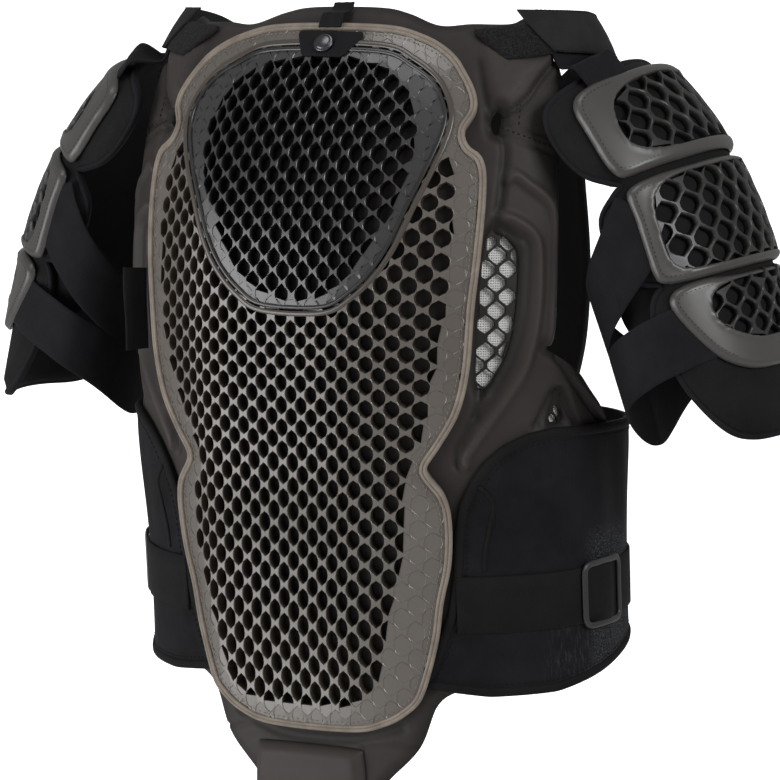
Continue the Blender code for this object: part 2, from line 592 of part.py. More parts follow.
def add_belt():
    cloth = material("belt_cloth", (0.012, 0.012, 0.014), 0.85)
    webbing = material("webbing", (0.015, 0.015, 0.017), 0.9)
    plastic = material("slider_plastic", (0.06, 0.06, 0.065), 0.4)
    end = front_centre - SEAM_GAP
    bottom = BELT_TOP + BELT_HEIGHT
    inner = [(binding_edge(BELT_TOP + BELT_HEIGHT * share, BELT_HEIGHT / 9) + BELT_SIDE_GAP,
              BELT_TOP + BELT_HEIGHT * share)
             for share in (0.97, 0.80, 0.60, 0.40, 0.22)]
    corner = inner[-1][0]
    outline = inner + [
        (corner + (BELT_SHOULDER - corner) * 0.25, BELT_TOP + BELT_HEIGHT * 0.10),
        (corner + (BELT_SHOULDER - corner) * 0.60, BELT_TOP + BELT_HEIGHT * 0.03),
        (BELT_SHOULDER, BELT_TOP),
        (end * 0.60, BELT_TOP + BELT_HEIGHT * 0.05),
        (end, BELT_TOP + BELT_HEIGHT * 0.03),
        (end, bottom - BELT_HEIGHT * 0.13),
        (end * 0.60, bottom - BELT_HEIGHT * 0.12),
        (end * 0.45, bottom - BELT_HEIGHT * 0.04),
        (end * 0.33, bottom),
    ]
    both_sides("kidney_belt", torso, outline, first_layer, belt_face, cloth)

    base = belt_face + LAYER_GAP
    bar_face = base + SLIDER_THICKNESS
    half_strap = WAIST_STRAP_WIDTH / 2
    bar_reach = SLIDER_BAR / 2
    window_reach = SLIDER_WIDTH / 2 - SLIDER_BAR
    climb_start, climb_end = window_reach - LAYER_GAP, bar_reach + LAYER_GAP

    def strap_lift(around, along):
        share = (climb_start - abs(around - SLIDER_CENTRE)) / (climb_start - climb_end)
        return base + max(0.0, min(1.0, share)) * (SLIDER_THICKNESS + LAYER_GAP)

    start = binding_edge(WAIST_STRAP_LEVEL, half_strap + BINDING_WIDTH) + 2 * SEAM_GAP
    strap = box(start, end, WAIST_STRAP_LEVEL - half_strap, WAIST_STRAP_LEVEL + half_strap)
    folds = [(0, SLIDER_CENTRE + reach) for reach in (-climb_start, -climb_end, climb_end, climb_start)]
    both_sides("waist_strap", torso, strap, strap_lift, lambda a, d: strap_lift(a, d) + STRAP_THICKNESS, webbing,
               creases=folds)

    half_window = half_strap + SLIDER_SIDE_ROOM
    frame = box(SLIDER_CENTRE - SLIDER_WIDTH / 2, SLIDER_CENTRE + SLIDER_WIDTH / 2,
                WAIST_STRAP_LEVEL - half_window - SLIDER_BAR, WAIST_STRAP_LEVEL + half_window + SLIDER_BAR)
    slots = [box(SLIDER_CENTRE + near, SLIDER_CENTRE + far, WAIST_STRAP_LEVEL - half_window,
                 WAIST_STRAP_LEVEL + half_window)
             for near, far in ((-window_reach, -bar_reach), (bar_reach, window_reach))]

    def slider_lift(around, along):
        in_bar = abs(around - SLIDER_CENTRE) < (bar_reach + climb_end) / 2
        in_bar = in_bar and abs(along - WAIST_STRAP_LEVEL) < half_window + SEAM_GAP
        return base if in_bar else base + STRAP_THICKNESS + LAYER_GAP

    sides = [(0, SLIDER_CENTRE - bar_reach), (0, SLIDER_CENTRE + bar_reach),
             (1, WAIST_STRAP_LEVEL - half_window), (1, WAIST_STRAP_LEVEL + half_window)]
    both_sides("slider_buckle", torso, frame, slider_lift, lambda a, d: slider_lift(a, d) + SLIDER_THICKNESS, plastic,
               slots, sides)


def ribbon(name, under, over, stuff, mirror=False):
    """Solid band between two sheets, each given as rails of points that run side by side."""
    bm = bmesh.new()
    low = [[bm.verts.new(p) for p in rail] for rail in under]
    high = [[bm.verts.new(p) for p in rail] for rail in over]
    last, end = len(low) - 1, len(low[0]) - 1
    for i in range(last):
        for k in range(end):
            for sheet in (low, high):
                bm.faces.new((sheet[i][k], sheet[i][k + 1], sheet[i + 1][k + 1], sheet[i + 1][k]))
        for k in (0, end):
            bm.faces.new((low[i][k], low[i + 1][k], high[i + 1][k], high[i][k]))
    for k in range(end):
        for i in (0, last):
            bm.faces.new((low[i][k], low[i][k + 1], high[i][k + 1], high[i][k]))
    bmesh.ops.triangulate(bm, faces=bm.faces[:])
    if mirror:
        bmesh.ops.scale(bm, vec=(-1, 1, 1), verts=bm.verts)
    return add_object(name, bm, stuff)


def add_shoulders():
    cloth = material("black_cloth", (0.012, 0.012, 0.014), 0.9)
    hook = material("hook_tape", (0.010, 0.010, 0.010), 1.0)
    band_cloth = material("elastic", (0.022, 0.020, 0.024), 0.85)
    patch_face = first_layer + PATCH_THICKNESS
    slant = HOOK_PATCH_WIDTH * 1.2
    patch = [
        (HOOK_PATCH_START, HOOK_PATCH_LEVEL),
        (HOOK_PATCH_START + HOOK_PATCH_LENGTH * 0.85, HOOK_PATCH_LEVEL - HOOK_PATCH_WIDTH * 0.4),
        (HOOK_PATCH_START + HOOK_PATCH_LENGTH * 0.85 + slant, HOOK_PATCH_LEVEL + HOOK_PATCH_WIDTH * 0.6),
        (HOOK_PATCH_START + slant, HOOK_PATCH_LEVEL + HOOK_PATCH_WIDTH),
    ]
    both_sides("hook_patch", torso, patch, first_layer, patch_face, hook)

    chest_end = (front_centre - CHEST_HALF_WIDTH * 0.80, CHEST_TOP + SHOULDER_STRAP_TUCK)
    start = (SHOULDER_STRAP_START, HOOK_PATCH_LEVEL + 0.002)
    run = chest_end[0] - start[0]
    route = [start]
    for share, rise in ((0.20, 0.002), (0.40, 0.003), (0.60, -0.003), (0.80, -0.019)):
        route.append((start[0] + run * share, start[1] - rise))
    route.append(chest_end)
    strap = band(route, SHOULDER_STRAP_HALF_WIDTH)
    strap_base = patch_face + LAYER_GAP
    both_sides("shoulder_strap", torso, strap, strap_base, strap_base + STRAP_THICKNESS, cloth)

    strap_low = start[1] + SHOULDER_STRAP_HALF_WIDTH
    rail_count = 5

    def hanger_rails(lift):
        rails = []
        for i in range(rail_count):
            share = i / (rail_count - 1)
            around = HANGER_START + HANGER_WIDTH * share
            angle = HANGER_BACK_ANGLE + (HANGER_FRONT_ANGLE - HANGER_BACK_ANGLE) * share
            turn = math.radians(angle) * arm.reference
            rails.append([
                torso.point(around, strap_low - 0.008, foam_face + SEAM_GAP + lift),
                torso.point(around, strap_low + 0.005, foam_face + SEAM_GAP + lift),
                arm.point(turn, ARM_LENGTH * -0.065, first_layer + 0.0030 + lift),
                arm.point(turn, CAP_TOP - 0.0065, first_layer + 0.0008 + lift),
                arm.point(turn, CAP_TOP - 0.0010, first_layer + lift),
            ])
        return rails

    for side, mirror in (("right", False), ("left", True)):
        ribbon(f"arm_hanger_{side}", hanger_rails(0), hanger_rails(HANGER_THICKNESS), band_cloth, mirror)


arm_pad_half = [
    Point(0.40, -0.055), Point(0.70, -0.045), Point(0.92, -0.01), Point(1.0, 0.08), Point(1.0, 0.20),
    Point(0.93, 0.27), Point(0.80, 0.30), Point(0.92, 0.33), Point(0.97, 0.40), Point(0.95, 0.49),
    Point(0.84, 0.55), Point(0.76, 0.57), Point(0.86, 0.60), Point(0.90, 0.68), Point(0.88, 0.82),
    Point(0.74, 0.94), Point(0.45, 1.02), Point(0.20, 1.035),
]
shell_half = [
    Point(0.60, -0.02), Point(0.91, 0.05), Point(1.0, 0.24), Point(0.95, 0.56), Point(0.86, 0.88), Point(0.78, 1.0),
    Point(0.40, 0.97),
]


def add_arms():
    foam = material("arm_foam", (0.020, 0.019, 0.020), 0.85)
    moulded = material("moulded_shell", (0.085, 0.080, 0.075), 0.42)
    elastic = material("elastic", (0.022, 0.020, 0.024), 0.85)
    pad = whole(arm_pad_half, ARM_PAD_HALF_SPAN, ARM_LENGTH, 0)
    both_sides("arm_pad", arm, pad, 0, FOAM_THICKNESS, foam)

    top = CAP_TOP
    for name, half_span, height in (("shoulder_cap", CAP_HALF_SPAN, CAP_HEIGHT),
                                    ("upper_shell", UPPER_SHELL_HALF_SPAN, UPPER_SHELL_HEIGHT),
                                    ("lower_shell", LOWER_SHELL_HALF_SPAN, LOWER_SHELL_HEIGHT)):
        outline = whole(shell_half, half_span, height, top)
        half_cell = height * 0.17
        holes = []
        for share, places in ((0.28, (-1, 0, 1)), (0.68, (-1.5, -0.5, 0.5, 1.5))):
            holes += [cell(place * ARM_CELL_PITCH, top + height * share, half_cell * 1.1, half_cell)
                      for place in places]
        both_sides(name, arm, outline, first_layer, first_layer + SHELL_THICKNESS, moulded, holes)
        top += height + SHELL_SPACING

    round_arm = arm.girth
    for name, share, fall in (("upper_arm_strap", 0.46, 0.030), ("lower_arm_strap", 0.75, 0.030)):
        level = ARM_LENGTH * share
        start = ARM_PAD_HALF_SPAN * 0.80
        route = [(start, level), (round_arm * 0.35, level + fall * 0.6), (round_arm * 0.5, level + fall),
                 (round_arm * 0.65, level + fall * 0.6), (round_arm - start, level)]
        strap = band(route, ARM_STRAP_WIDTH / 2)
        both_sides(name, arm, strap, -SEAM_GAP - STRAP_THICKNESS, -SEAM_GAP, elastic)


for old in list(bpy.data.objects):
    bpy.data.objects.remove(old)
add_back()
add_chest()
add_belt()
add_shoulders()
add_arms()
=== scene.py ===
import math
import random

import bmesh
import bpy
import numpy as np
from mathutils import Matrix, Vector


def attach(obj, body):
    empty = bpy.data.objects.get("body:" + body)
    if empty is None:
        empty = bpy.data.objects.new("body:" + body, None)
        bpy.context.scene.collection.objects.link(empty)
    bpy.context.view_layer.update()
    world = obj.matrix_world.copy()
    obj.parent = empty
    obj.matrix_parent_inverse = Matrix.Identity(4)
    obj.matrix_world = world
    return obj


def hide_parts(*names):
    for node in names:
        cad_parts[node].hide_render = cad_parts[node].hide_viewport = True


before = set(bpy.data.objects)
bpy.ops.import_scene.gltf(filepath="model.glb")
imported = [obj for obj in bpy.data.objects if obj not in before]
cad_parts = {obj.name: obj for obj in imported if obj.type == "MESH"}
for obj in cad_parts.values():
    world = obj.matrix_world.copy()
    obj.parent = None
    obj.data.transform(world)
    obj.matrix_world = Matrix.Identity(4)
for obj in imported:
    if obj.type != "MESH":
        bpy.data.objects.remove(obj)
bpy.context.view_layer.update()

# The two forms that everything lies on. A flat place is (around, along, lift) in metres.
torsoShape = {"height": 0.600, "halfWidth": 0.161, "backDepth": 0.115, "frontDepth": 0.126, "roundness": 2.35}
torsoRows = [  # share of the height, width, back, front
    (-0.06, 0.50, -0.18, 0.32), (0.00, 0.71, -0.28, 0.48), (0.04, 0.85, -0.42, 0.60),
    (0.10, 0.955, -0.64, 0.75), (0.20, 0.99, -0.89, 0.87), (0.333, 1.00, -1.00, 0.94),
    (0.50, 0.99, -0.94, 0.97), (0.633, 0.97, -0.835, 1.00), (0.767, 0.975, -0.765, 1.03),
    (1.00, 1.00, -0.74, 1.05)]
armShape = {"length": 0.230, "halfThick": 0.055, "innerThick": 0.037, "halfDeep": 0.085, "leanIn": 0.064,
            "forward": 0.022, "drop": 0.098}
armRows = [  # share of the length, tilt in degrees, thickness, depth
    (-0.10, 50, 0.90, 0.98), (0.00, 46, 0.95, 1.00), (0.21, 32, 0.98, 0.98), (0.43, 21, 1.00, 0.94),
    (0.61, 17, 0.98, 0.90), (0.89, 15, 0.95, 0.82), (1.05, 15, 0.93, 0.80)]


def tableCurve(rows, column, share):
    # one column of a table at any shares, on a smooth curve through its rows
    marks = np.array([row[0] for row in rows], float)
    values = np.array([row[column] for row in rows], float)
    after = np.minimum(np.arange(len(rows)) + 1, len(rows) - 1)
    before = np.maximum(np.arange(len(rows)) - 1, 0)
    slopes = (values[after] - values[before]) / (marks[after] - marks[before])
    i = np.clip(np.searchsorted(marks, share, "right") - 1, 0, len(rows) - 2)
    span = marks[i + 1] - marks[i]
    t = (share - marks[i]) / span
    return ((1 + 2 * t) * (1 - t) ** 2 * values[i] + t * (1 - t) ** 2 * span * slopes[i]
            + t * t * (3 - 2 * t) * values[i + 1] + t * t * (t - 1) * span * slopes[i + 1])


class Form:
    turn = 1
    step = 0.002   # reach of the slope reading

    def lay(self, flat):
        # flat places onto the form
        flat = np.asarray(flat, float)
        around, along, lift = flat[:, 0], flat[:, 1], flat[:, 2]
        sideways = self.place(around + self.step, along) - self.place(around - self.step, along)
        downward = self.place(around, along + self.step) - self.place(around, along - self.step)
        normal = np.cross(downward, sideways) * self.turn
        normal /= np.linalg.norm(normal, axis=1)[:, None]
        return self.place(around, along) + normal * lift[:, None]


class TorsoForm(Form):
    # around runs from the spine toward +X, along is the drop below the shoulder line
    def __init__(self):
        turn = np.linspace(0, 2 * math.pi, 2881)
        power = 2 / torsoShape["roundness"]
        self.unitX = np.sign(np.sin(turn)) * np.abs(np.sin(turn)) ** power
        self.unitY = -np.sign(np.cos(turn)) * np.abs(np.cos(turn)) ** power
        halfDepth = (torsoShape["backDepth"] + torsoShape["frontDepth"]) / 2
        runs = np.hypot(np.diff(self.unitX * torsoShape["halfWidth"]), np.diff(self.unitY * halfDepth))
        self.arc = np.concatenate([[0], np.cumsum(runs)])
        self.girth = float(self.arc[-1])

    def place(self, around, along):
        around = np.mod(around, self.girth)
        share = along / torsoShape["height"]
        back = tableCurve(torsoRows, 2, share) * torsoShape["backDepth"]
        front = tableCurve(torsoRows, 3, share) * torsoShape["frontDepth"]
        width = tableCurve(torsoRows, 1, share) * torsoShape["halfWidth"]
        x = width * np.interp(around, self.arc, self.unitX)
        y = (back + front) / 2 + (front - back) / 2 * np.interp(around, self.arc, self.unitY)
        return np.stack([x, y, -along + 0 * x], -1)


class ArmForm(Form):
    # around runs from the outermost line toward the back, along runs down the arm's centre line
    turn = -1

    def __init__(self):
        self.reference = (armShape["halfThick"] + armShape["halfDeep"]) / 2
        self.girth = 2 * math.pi * self.reference
        self.marks = np.linspace(-0.15, 1.2, 271) * armShape["length"]
        tilt = np.radians(tableCurve(armRows, 1, self.marks / armShape["length"]))
        step = self.marks[1] - self.marks[0]
        x, z = np.cumsum(np.sin(tilt)) * step, -np.cumsum(np.cos(tilt)) * step
        top = torsoShape["halfWidth"] + armShape["halfThick"] - armShape["leanIn"]
        self.x = x - np.interp(0, self.marks, x) + top
        self.z = z - np.interp(0, self.marks, z) - armShape["drop"]

    def place(self, around, along):
        share = along / armShape["length"]
        tilt = np.radians(tableCurve(armRows, 1, share))
        thick = armShape["halfThick"] * tableCurve(armRows, 2, share)
        deep = armShape["halfDeep"] * tableCurve(armRows, 3, share)
        angle = around / self.reference
        out = thick * np.cos(angle)
        out = np.where(out < 0, out * armShape["innerThick"] / armShape["halfThick"], out)
        x = np.interp(along, self.marks, self.x) + np.cos(tilt) * out
        z = np.interp(along, self.marks, self.z) + np.sin(tilt) * out
        return np.stack([x, armShape["forward"] - deep * np.sin(angle), z], -1)


torso, arm = TorsoForm(), ArmForm()
frontCentre = torso.girth / 2
foamFace, layerStart, plateFace = 0.009, 0.0098, 0.0173   # lifts of the foam, what lies on it, the plates
print("forms ready")


# Shader sockets and materials
class Wire:
    # one socket, which takes part in sums as a number does
    def __init__(self, tree, socket):
        self.tree, self.socket = tree, socket

    def math(self, operation, *values):
        made = self.tree.nodes.new("ShaderNodeMath")
        made.operation = operation
        for slot, value in zip(made.inputs, values):
            if isinstance(value, Wire):
                self.tree.links.new(value.socket, slot)
            else:
                slot.default_value = value
        return Wire(self.tree, made.outputs[0])

    def __add__(self, other):
        return self.math("ADD", self, other)

    def __sub__(self, other):
        return self.math("SUBTRACT", self, other)

    def __rsub__(self, other):
        return self.math("SUBTRACT", other, self)

    def __mul__(self, other):
        return self.math("MULTIPLY", self, other)

    __radd__, __rmul__ = __add__, __mul__

    def wave(self, pitch):
        # 0 to 1 and back once in each pitch
        return self.math("SINE", self * (2 * math.pi / pitch)) * 0.5 + 0.5

    def between(self, low, high):
        # 0 below low, 1 above high
        share = (self - low) * (1 / (high - low))
        return self.math("MINIMUM", self.math("MAXIMUM", share, 0.0), 1.0)


class Finish:
    # a Principled material, with one method for any other node
    def __init__(self, name, slot, **fixed):
        self.slot = slot
        self.material = bpy.data.materials.new(name)
        self.material.use_nodes = True
        self.tree = self.material.node_tree
        self.shader = self.tree.nodes["Principled BSDF"]
        for socket, value in fixed.items():
            self.feed(self.shader.inputs[socket.replace("_", " ")], value)
        self.flat = self.node("Attribute", {"attribute_name": "flat"}, output=1)
        self.across, self.down, self.lift = [self.node("SeparateXYZ", None, {0: self.flat}, axis)
                                             for axis in (0, 1, 2)]

    def feed(self, socket, value):
        if isinstance(value, Wire):
            self.tree.links.new(value.socket, socket)
        elif isinstance(value, tuple) and len(value) == 3 and len(getattr(socket, "default_value", ())) == 4:
            socket.default_value = (*value, 1)
        else:
            socket.default_value = value

    def node(self, kind, settings=None, values=None, output=0):
        made = self.tree.nodes.new("ShaderNode" + kind)
        for name, value in (settings or {}).items():
            setattr(made, name, value)
        for name, value in (values or {}).items():
            self.feed(made.inputs[name], value)
        return Wire(self.tree, made.outputs[output])

    def noise(self, scale, detail=3.0, rough=0.6, place=None):
        return self.node("TexNoise", None, {"Vector": place or self.flat, "Scale": scale, "Detail": detail,
                                           "Roughness": rough})

    def mix(self, share, first, second):
        return self.node("Mix", {"data_type": "RGBA"}, {0: share, 6: first, 7: second}, output=2)

    def paint(self, tone, rough, bump, strength, reach):
        normal = self.node("Bump", None, {"Height": bump, "Strength": strength, "Distance": reach})
        for socket, value in (("Base Color", tone), ("Roughness", rough), ("Normal", normal)):
            self.feed(self.shader.inputs[socket], value)
        return self


# foam tones; the sunk one is painted shade for the low parts
foamTones = {"dark": (0.020, 0.016, 0.0145), "pale": (0.028, 0.023, 0.021), "worn": (0.044, 0.037, 0.034),
             "sunk": (0.008, 0.0065, 0.006)}
# plate tones: deep is painted shade at the bottom of the cells, the tone after it painted light in the cells
# toward the edges and the lower end, face the upper cell walls and web the tops
smokeTones = {"deep": (0.010, 0.008, 0.006), "litCells": (0.050, 0.037, 0.026), "face": (0.060, 0.050, 0.042),
              "web": (0.112, 0.099, 0.087), "rough": 0.24, "coat": 0.45}
blackTones = {"deep": (0.002, 0.002, 0.002), "litCells": (0.002, 0.002, 0.002), "face": (0.016, 0.016, 0.0165),
              "web": (0.032, 0.032, 0.033), "rough": 0.26, "coat": 0.45}
shellTones = {"deep": (0.004, 0.004, 0.004), "litCells": (0.004, 0.004, 0.004), "face": (0.056, 0.0535, 0.051),
              "web": (0.015, 0.0145, 0.014), "rough": 0.31, "coat": 0.1}
tapeTones = {"dark": (0.17, 0.143, 0.118), "pale": (0.28, 0.24, 0.20)}
beltTones = {"dark": (0.005, 0.005, 0.006), "pale": (0.0125, 0.013, 0.0155), "loops": (0.085, 0.090, 0.100),
             "streaks": (0.032, 0.033, 0.038)}
hookTones = {"dark": (0.003, 0.003, 0.0035), "pale": (0.032, 0.032, 0.034)}
steelTones = {"dark": (0.07, 0.07, 0.075), "pale": (0.14, 0.14, 0.15)}
sliderTones = {"dark": (0.020, 0.020, 0.022), "pale": (0.040, 0.040, 0.042), "rough": 0.30}
cloths = {  # material, slot, dark and pale tones, pitch of the weave
    "cloth": ("blackCloth", "black_cloth", (0.0055, 0.0055, 0.0065), (0.014, 0.014, 0.016), 0.0010),
    "strapCloth": ("brushedStrapCloth", "black_cloth", (0.012, 0.012, 0.0125), (0.034, 0.034, 0.036), 0.0009),
    "net": ("paleNet", "pale_mesh", (0.80, 0.80, 0.78), (0.92, 0.92, 0.90), 0.0008),
    "elastic": ("blackElastic", "elastic", (0.0065, 0.006, 0.0075), (0.016, 0.015, 0.018), 0.0013),
    "armFoam": ("armPadCloth", "arm_foam", (0.006, 0.006, 0.0065), (0.015, 0.0145, 0.015), 0.0011),
    "webbing": ("blackWebbing", "webbing", (0.0055, 0.0055, 0.006), (0.013, 0.0125, 0.013), 0.0016)}
clothSheen = {"Specular_IOR_Level": 0.12, "Sheen_Weight": 0.02, "Sheen_Roughness": 0.4}


def foamFinish():
    # matt stretch cloth bonded on moulded foam, lighter on its raised parts, with painted shade darkening its
    # channels and lowered edges
    look = Finish("bondedFoamCloth", "moulded_foam", Specular_IOR_Level=0.3, Sheen_Weight=0.03,
                  Sheen_Roughness=0.5)
    knit = look.across.wave(0.0011) * look.down.wave(0.0009)
    tone = look.mix(look.noise(22, 4).between(0.35, 0.7), foamTones["dark"], foamTones["pale"])
    # a lighter tone on the raised parts, set by their lift alone
    tone = look.mix(look.lift.between(0.0092, 0.0125) * 0.6, tone, foamTones["worn"])
    # painted shade: all that lies low, the channels, the lowered edges and the window frames, takes the dark
    # sunk tone
    tone = look.mix(look.lift.between(0.0088, 0.0060) * 0.6, tone, foamTones["sunk"])
    return look.paint(tone, look.noise(160) * 0.14 + 0.52, knit * 0.5 + look.noise(900) * 0.6, 0.25, 0.0002)


def plateFinish(name, slot, tones):
    # moulded plastic with painted shade darkening its cell walls toward the bottom, painted light brightening
    # the cells toward the edge and the lower end, and of another tone on the tops of its webs
    look = Finish(name, slot, Coat_Weight=tones["coat"], Coat_Roughness=0.18)
    top = look.node("Attribute", {"attribute_name": "height"}, output=2)
    # painted light: the cells toward the left and right edges and the lower end get the lighter tone
    outer = (look.across * look.across).between(0.0018, 0.0058) + look.down.between(0.40, 0.46)
    inner = look.mix(outer.between(0.0, 1.0), tones["deep"], tones["litCells"])
    # painted shade: the cell walls darken from the face tone down toward the bottom of the cells
    tone = look.mix(top.between(0.45, 0.90), inner, tones["face"])
    tone = look.mix(top.between(0.90, 0.94), tone, tones["web"])
    tone = look.mix(look.noise(14, 3).between(0.35, 0.8) * 0.3, tone, tones["face"])
    return look.paint(tone, look.noise(120) * 0.14 + tones["rough"], look.noise(1400, 2), 0.12, 0.0001)


def tapeFinish():
    look = Finish("tanBindingTape", "binding", Specular_IOR_Level=0.25, Sheen_Weight=0.05)
    weave = (look.across + look.down).wave(0.0012) * (look.across - look.down).wave(0.0012)
    tone = look.mix(look.noise(60, 4).between(0.3, 0.75), tapeTones["dark"], tapeTones["pale"])
    return look.paint(tone, look.noise(300) * 0.2 + 0.6, weave + look.noise(1100) * 0.5, 0.4, 0.0003)


def clothFinish(name, slot, dark, pale, pitch):
    # woven cloth or elastic, ribbed across its length
    look = Finish(name, slot, **clothSheen)
    weave = look.across.wave(pitch) * 0.6 + look.down.wave(pitch * 0.7) * 0.4
    fleck = look.noise(1300, 2).between(0.55, 0.8)
    tone = look.mix(look.noise(35, 4).between(0.3, 0.75) * 0.6 + fleck * 0.5, dark, pale)
    return look.paint(tone, look.noise(200) * 0.15 + 0.68, weave + look.noise(900) * 0.5, 0.35, 0.0003)


def beltFinish():
    # knitted cloth, with a patch of brushed loops toward the front and worn streaks near the lower edge
    look = Finish("beltCloth", "belt_cloth", **clothSheen)
    loops = look.noise(1000, 3).between(0.50, 0.66)
    loops = loops * (look.across.between(0.190, 0.202) * look.down.between(0.352, 0.368))
    drawn = look.node("VectorMath", {"operation": "MULTIPLY"}, {0: look.flat, 1: (4.0, 0.6, 1.0)})
    streaks = look.noise(160, 3, place=drawn).between(0.50, 0.70)
    streaks = streaks * (look.across.between(0.150, 0.170) * look.down.between(0.415, 0.430))
    tone = look.mix(look.noise(35, 4).between(0.3, 0.75) * 0.8, beltTones["dark"], beltTones["pale"])
    tone = look.mix(loops, tone, beltTones["loops"])
    tone = look.mix(streaks, tone, beltTones["streaks"])
    knit = look.across.wave(0.0012) * 0.6 + look.down.wave(0.0009) * 0.4 + loops * 2
    return look.paint(tone, look.noise(200) * 0.15 + 0.68, knit + look.noise(900) * 0.5, 0.4, 0.0004)


def hookFinish():
    look = Finish("hookTapePile", "hook_tape", Specular_IOR_Level=0.2, Sheen_Weight=0.05, Sheen_Roughness=0.3)
    pile = look.noise(900, 4, 0.8)
    tone = look.mix(pile.between(0.42, 0.72), hookTones["dark"], hookTones["pale"])
    return look.paint(tone, 0.85, pile, 0.9, 0.0012)


def steelFinish():
    look = Finish("gunmetalSnap", "dark_steel", Metallic=1.0)
    tone = look.mix(look.noise(400), steelTones["dark"], steelTones["pale"])
    return look.paint(tone, look.noise(900) * 0.2 + 0.2, look.noise(2500), 0.08, 0.0001)


def sliderFinish():
    look = Finish("sliderPlastic", "slider_plastic")
    tone = look.mix(look.noise(30, 4).between(0.3, 0.75), sliderTones["dark"], sliderTones["pale"])
    return look.paint(tone, look.noise(180) * 0.12 + sliderTones["rough"], look.noise(1700, 2), 0.15, 0.0001)


finishes = {
    "foam": foamFinish(), "tape": tapeFinish(), "belt": beltFinish(), "hook": hookFinish(),
    "steel": steelFinish(), "slider": sliderFinish(),
    "smoke": plateFinish("smokedPlate", "smoked_plate", smokeTones),
    "black": plateFinish("blackPlate", "black_plate", blackTones),
    "shell": plateFinish("mouldedShell", "moulded_shell", shellTones),
    **{key: clothFinish(*values) for key, values in cloths.items()}}
print("finishes ready")


# Flat outlines
def smoothLine(points, spacing, closed=False):
    # evenly spaced points on a smooth curve through the given ones
    p = np.array(points, float)
    last = len(p) - 1
    stretches = []
    for i in range(len(p) if closed else last):
        a, b, c, d = [p[(i + k) % len(p)] if closed else p[min(max(i + k, 0), last)] for k in (-1, 0, 1, 2)]
        t = np.linspace(0, 1, 24, endpoint=False)[:, None]
        stretches.append(0.5 * (2 * b + (c - a) * t + (2 * a - 5 * b + 4 * c - d) * t ** 2
                                + (3 * b - a - 3 * c + d) * t ** 3))
    line = np.concatenate(stretches + [p[:1] if closed else p[-1:]])
    runs = np.concatenate([[0], np.cumsum(np.linalg.norm(np.diff(line, axis=0), axis=1))])
    marks = np.linspace(0, runs[-1], max(3, round(runs[-1] / spacing)) + 1)
    even = np.stack([np.interp(marks, runs, line[:, k]) for k in range(p.shape[1])], -1)
    return even[:-1] if closed else even


def mirrorHalf(half, halfWidth, height, top, centre=0.0):
    # closed list of points from the right half of an outline, given in shares from the top down
    right = [(centre + across * halfWidth, top + down * height) for across, down in half]
    return right + [(2 * centre - around, along) for around, along in reversed(right)]


def metres(points):
    # places given in millimetres
    return np.array(points, float) * 0.001


def halfLoop(points, spacing, centre=0.0):
    # closed outline from its right half in millimetres
    return smoothLine(mirrorHalf(points, 0.001, 0.001, 0, centre), spacing, True)


def boxLine(low, high, corner):
    # rectangle with rounded corners, between two (around, along) places
    line = []
    for x, y, start in ((high[0] - corner, low[1] + corner, -90), (high[0] - corner, high[1] - corner, 0),
                        (low[0] + corner, high[1] - corner, 90), (low[0] + corner, low[1] + corner, 180)):
        for turn in (0, 30, 60, 90):
            angle = math.radians(start + turn)
            line.append((x + corner * math.cos(angle), y + corner * math.sin(angle)))
    return line


def denseLoop(points, spacing):
    # evenly spaced points on a closed line, with its corners kept
    p = np.array(list(points) + [points[0]], float)
    runs = np.concatenate([[0], np.cumsum(np.linalg.norm(np.diff(p, axis=0), axis=1))])
    marks = np.linspace(0, runs[-1], max(8, round(runs[-1] / spacing)) + 1)[:-1]
    return np.stack([np.interp(marks, runs, p[:, k]) for k in (0, 1)], -1)


def sideways(line, closed):
    # unit normals of a flat line
    run = np.roll(line, -1, 0) - np.roll(line, 1, 0)
    if not closed:
        run[0], run[-1] = line[1] - line[0], line[-1] - line[-2]
    run = run[:, :2] / np.linalg.norm(run[:, :2], axis=1)[:, None]
    return np.stack([-run[:, 1], run[:, 0]], -1)


def grow(loop, distance):
    # a closed outline moved outward, inward if the distance is negative
    x, y = loop[:, 0], loop[:, 1]
    area = np.sum(x * np.roll(y, -1) - np.roll(x, -1) * y)
    return loop - sideways(loop, True) * distance * (1 if area > 0 else -1)


def nearest(points, loops, closed=True):
    # distance of points to lines, and the nearest places on them
    starts = np.concatenate([loop if closed else loop[:-1] for loop in loops])
    ends = np.concatenate([np.roll(loop, -1, 0) if closed else loop[1:] for loop in loops])
    run = ends - starts
    length = np.maximum((run ** 2).sum(1), 1e-14)
    distances, places = np.empty(len(points)), np.empty((len(points), 2))
    for first in range(0, len(points), 2000):
        some = points[first:first + 2000, None, :]
        share = np.clip(((some - starts) * run).sum(2) / length, 0, 1)
        spots = starts + share[..., None] * run
        gaps = ((some - spots) ** 2).sum(2)
        best = gaps.argmin(1)
        rows = np.arange(len(best))
        distances[first:first + 2000] = np.sqrt(gaps[rows, best])
        places[first:first + 2000] = spots[rows, best]
    return distances, places


def inside(points, loop):
    # which points lie inside a closed outline
    starts, ends = loop, np.roll(loop, -1, 0)
    crossed = np.zeros(len(points), bool)
    for (ax, ay), (bx, by) in zip(starts, ends):
        if ay != by:
            hit = (ay > points[:, 1]) != (by > points[:, 1])
            crossed ^= hit & (points[:, 0] < ax + (points[:, 1] - ay) / (by - ay) * (bx - ax))
    return crossed


def ease(value):
    value = np.clip(value, 0, 1)
    return value * value * (3 - 2 * value)


# Meshes
def flatPlaces(bm):
    return np.array([v.co[:] for v in bm.verts])


def setPlaces(bm, places):
    for v, place in zip(bm.verts, places):
        v.co = place


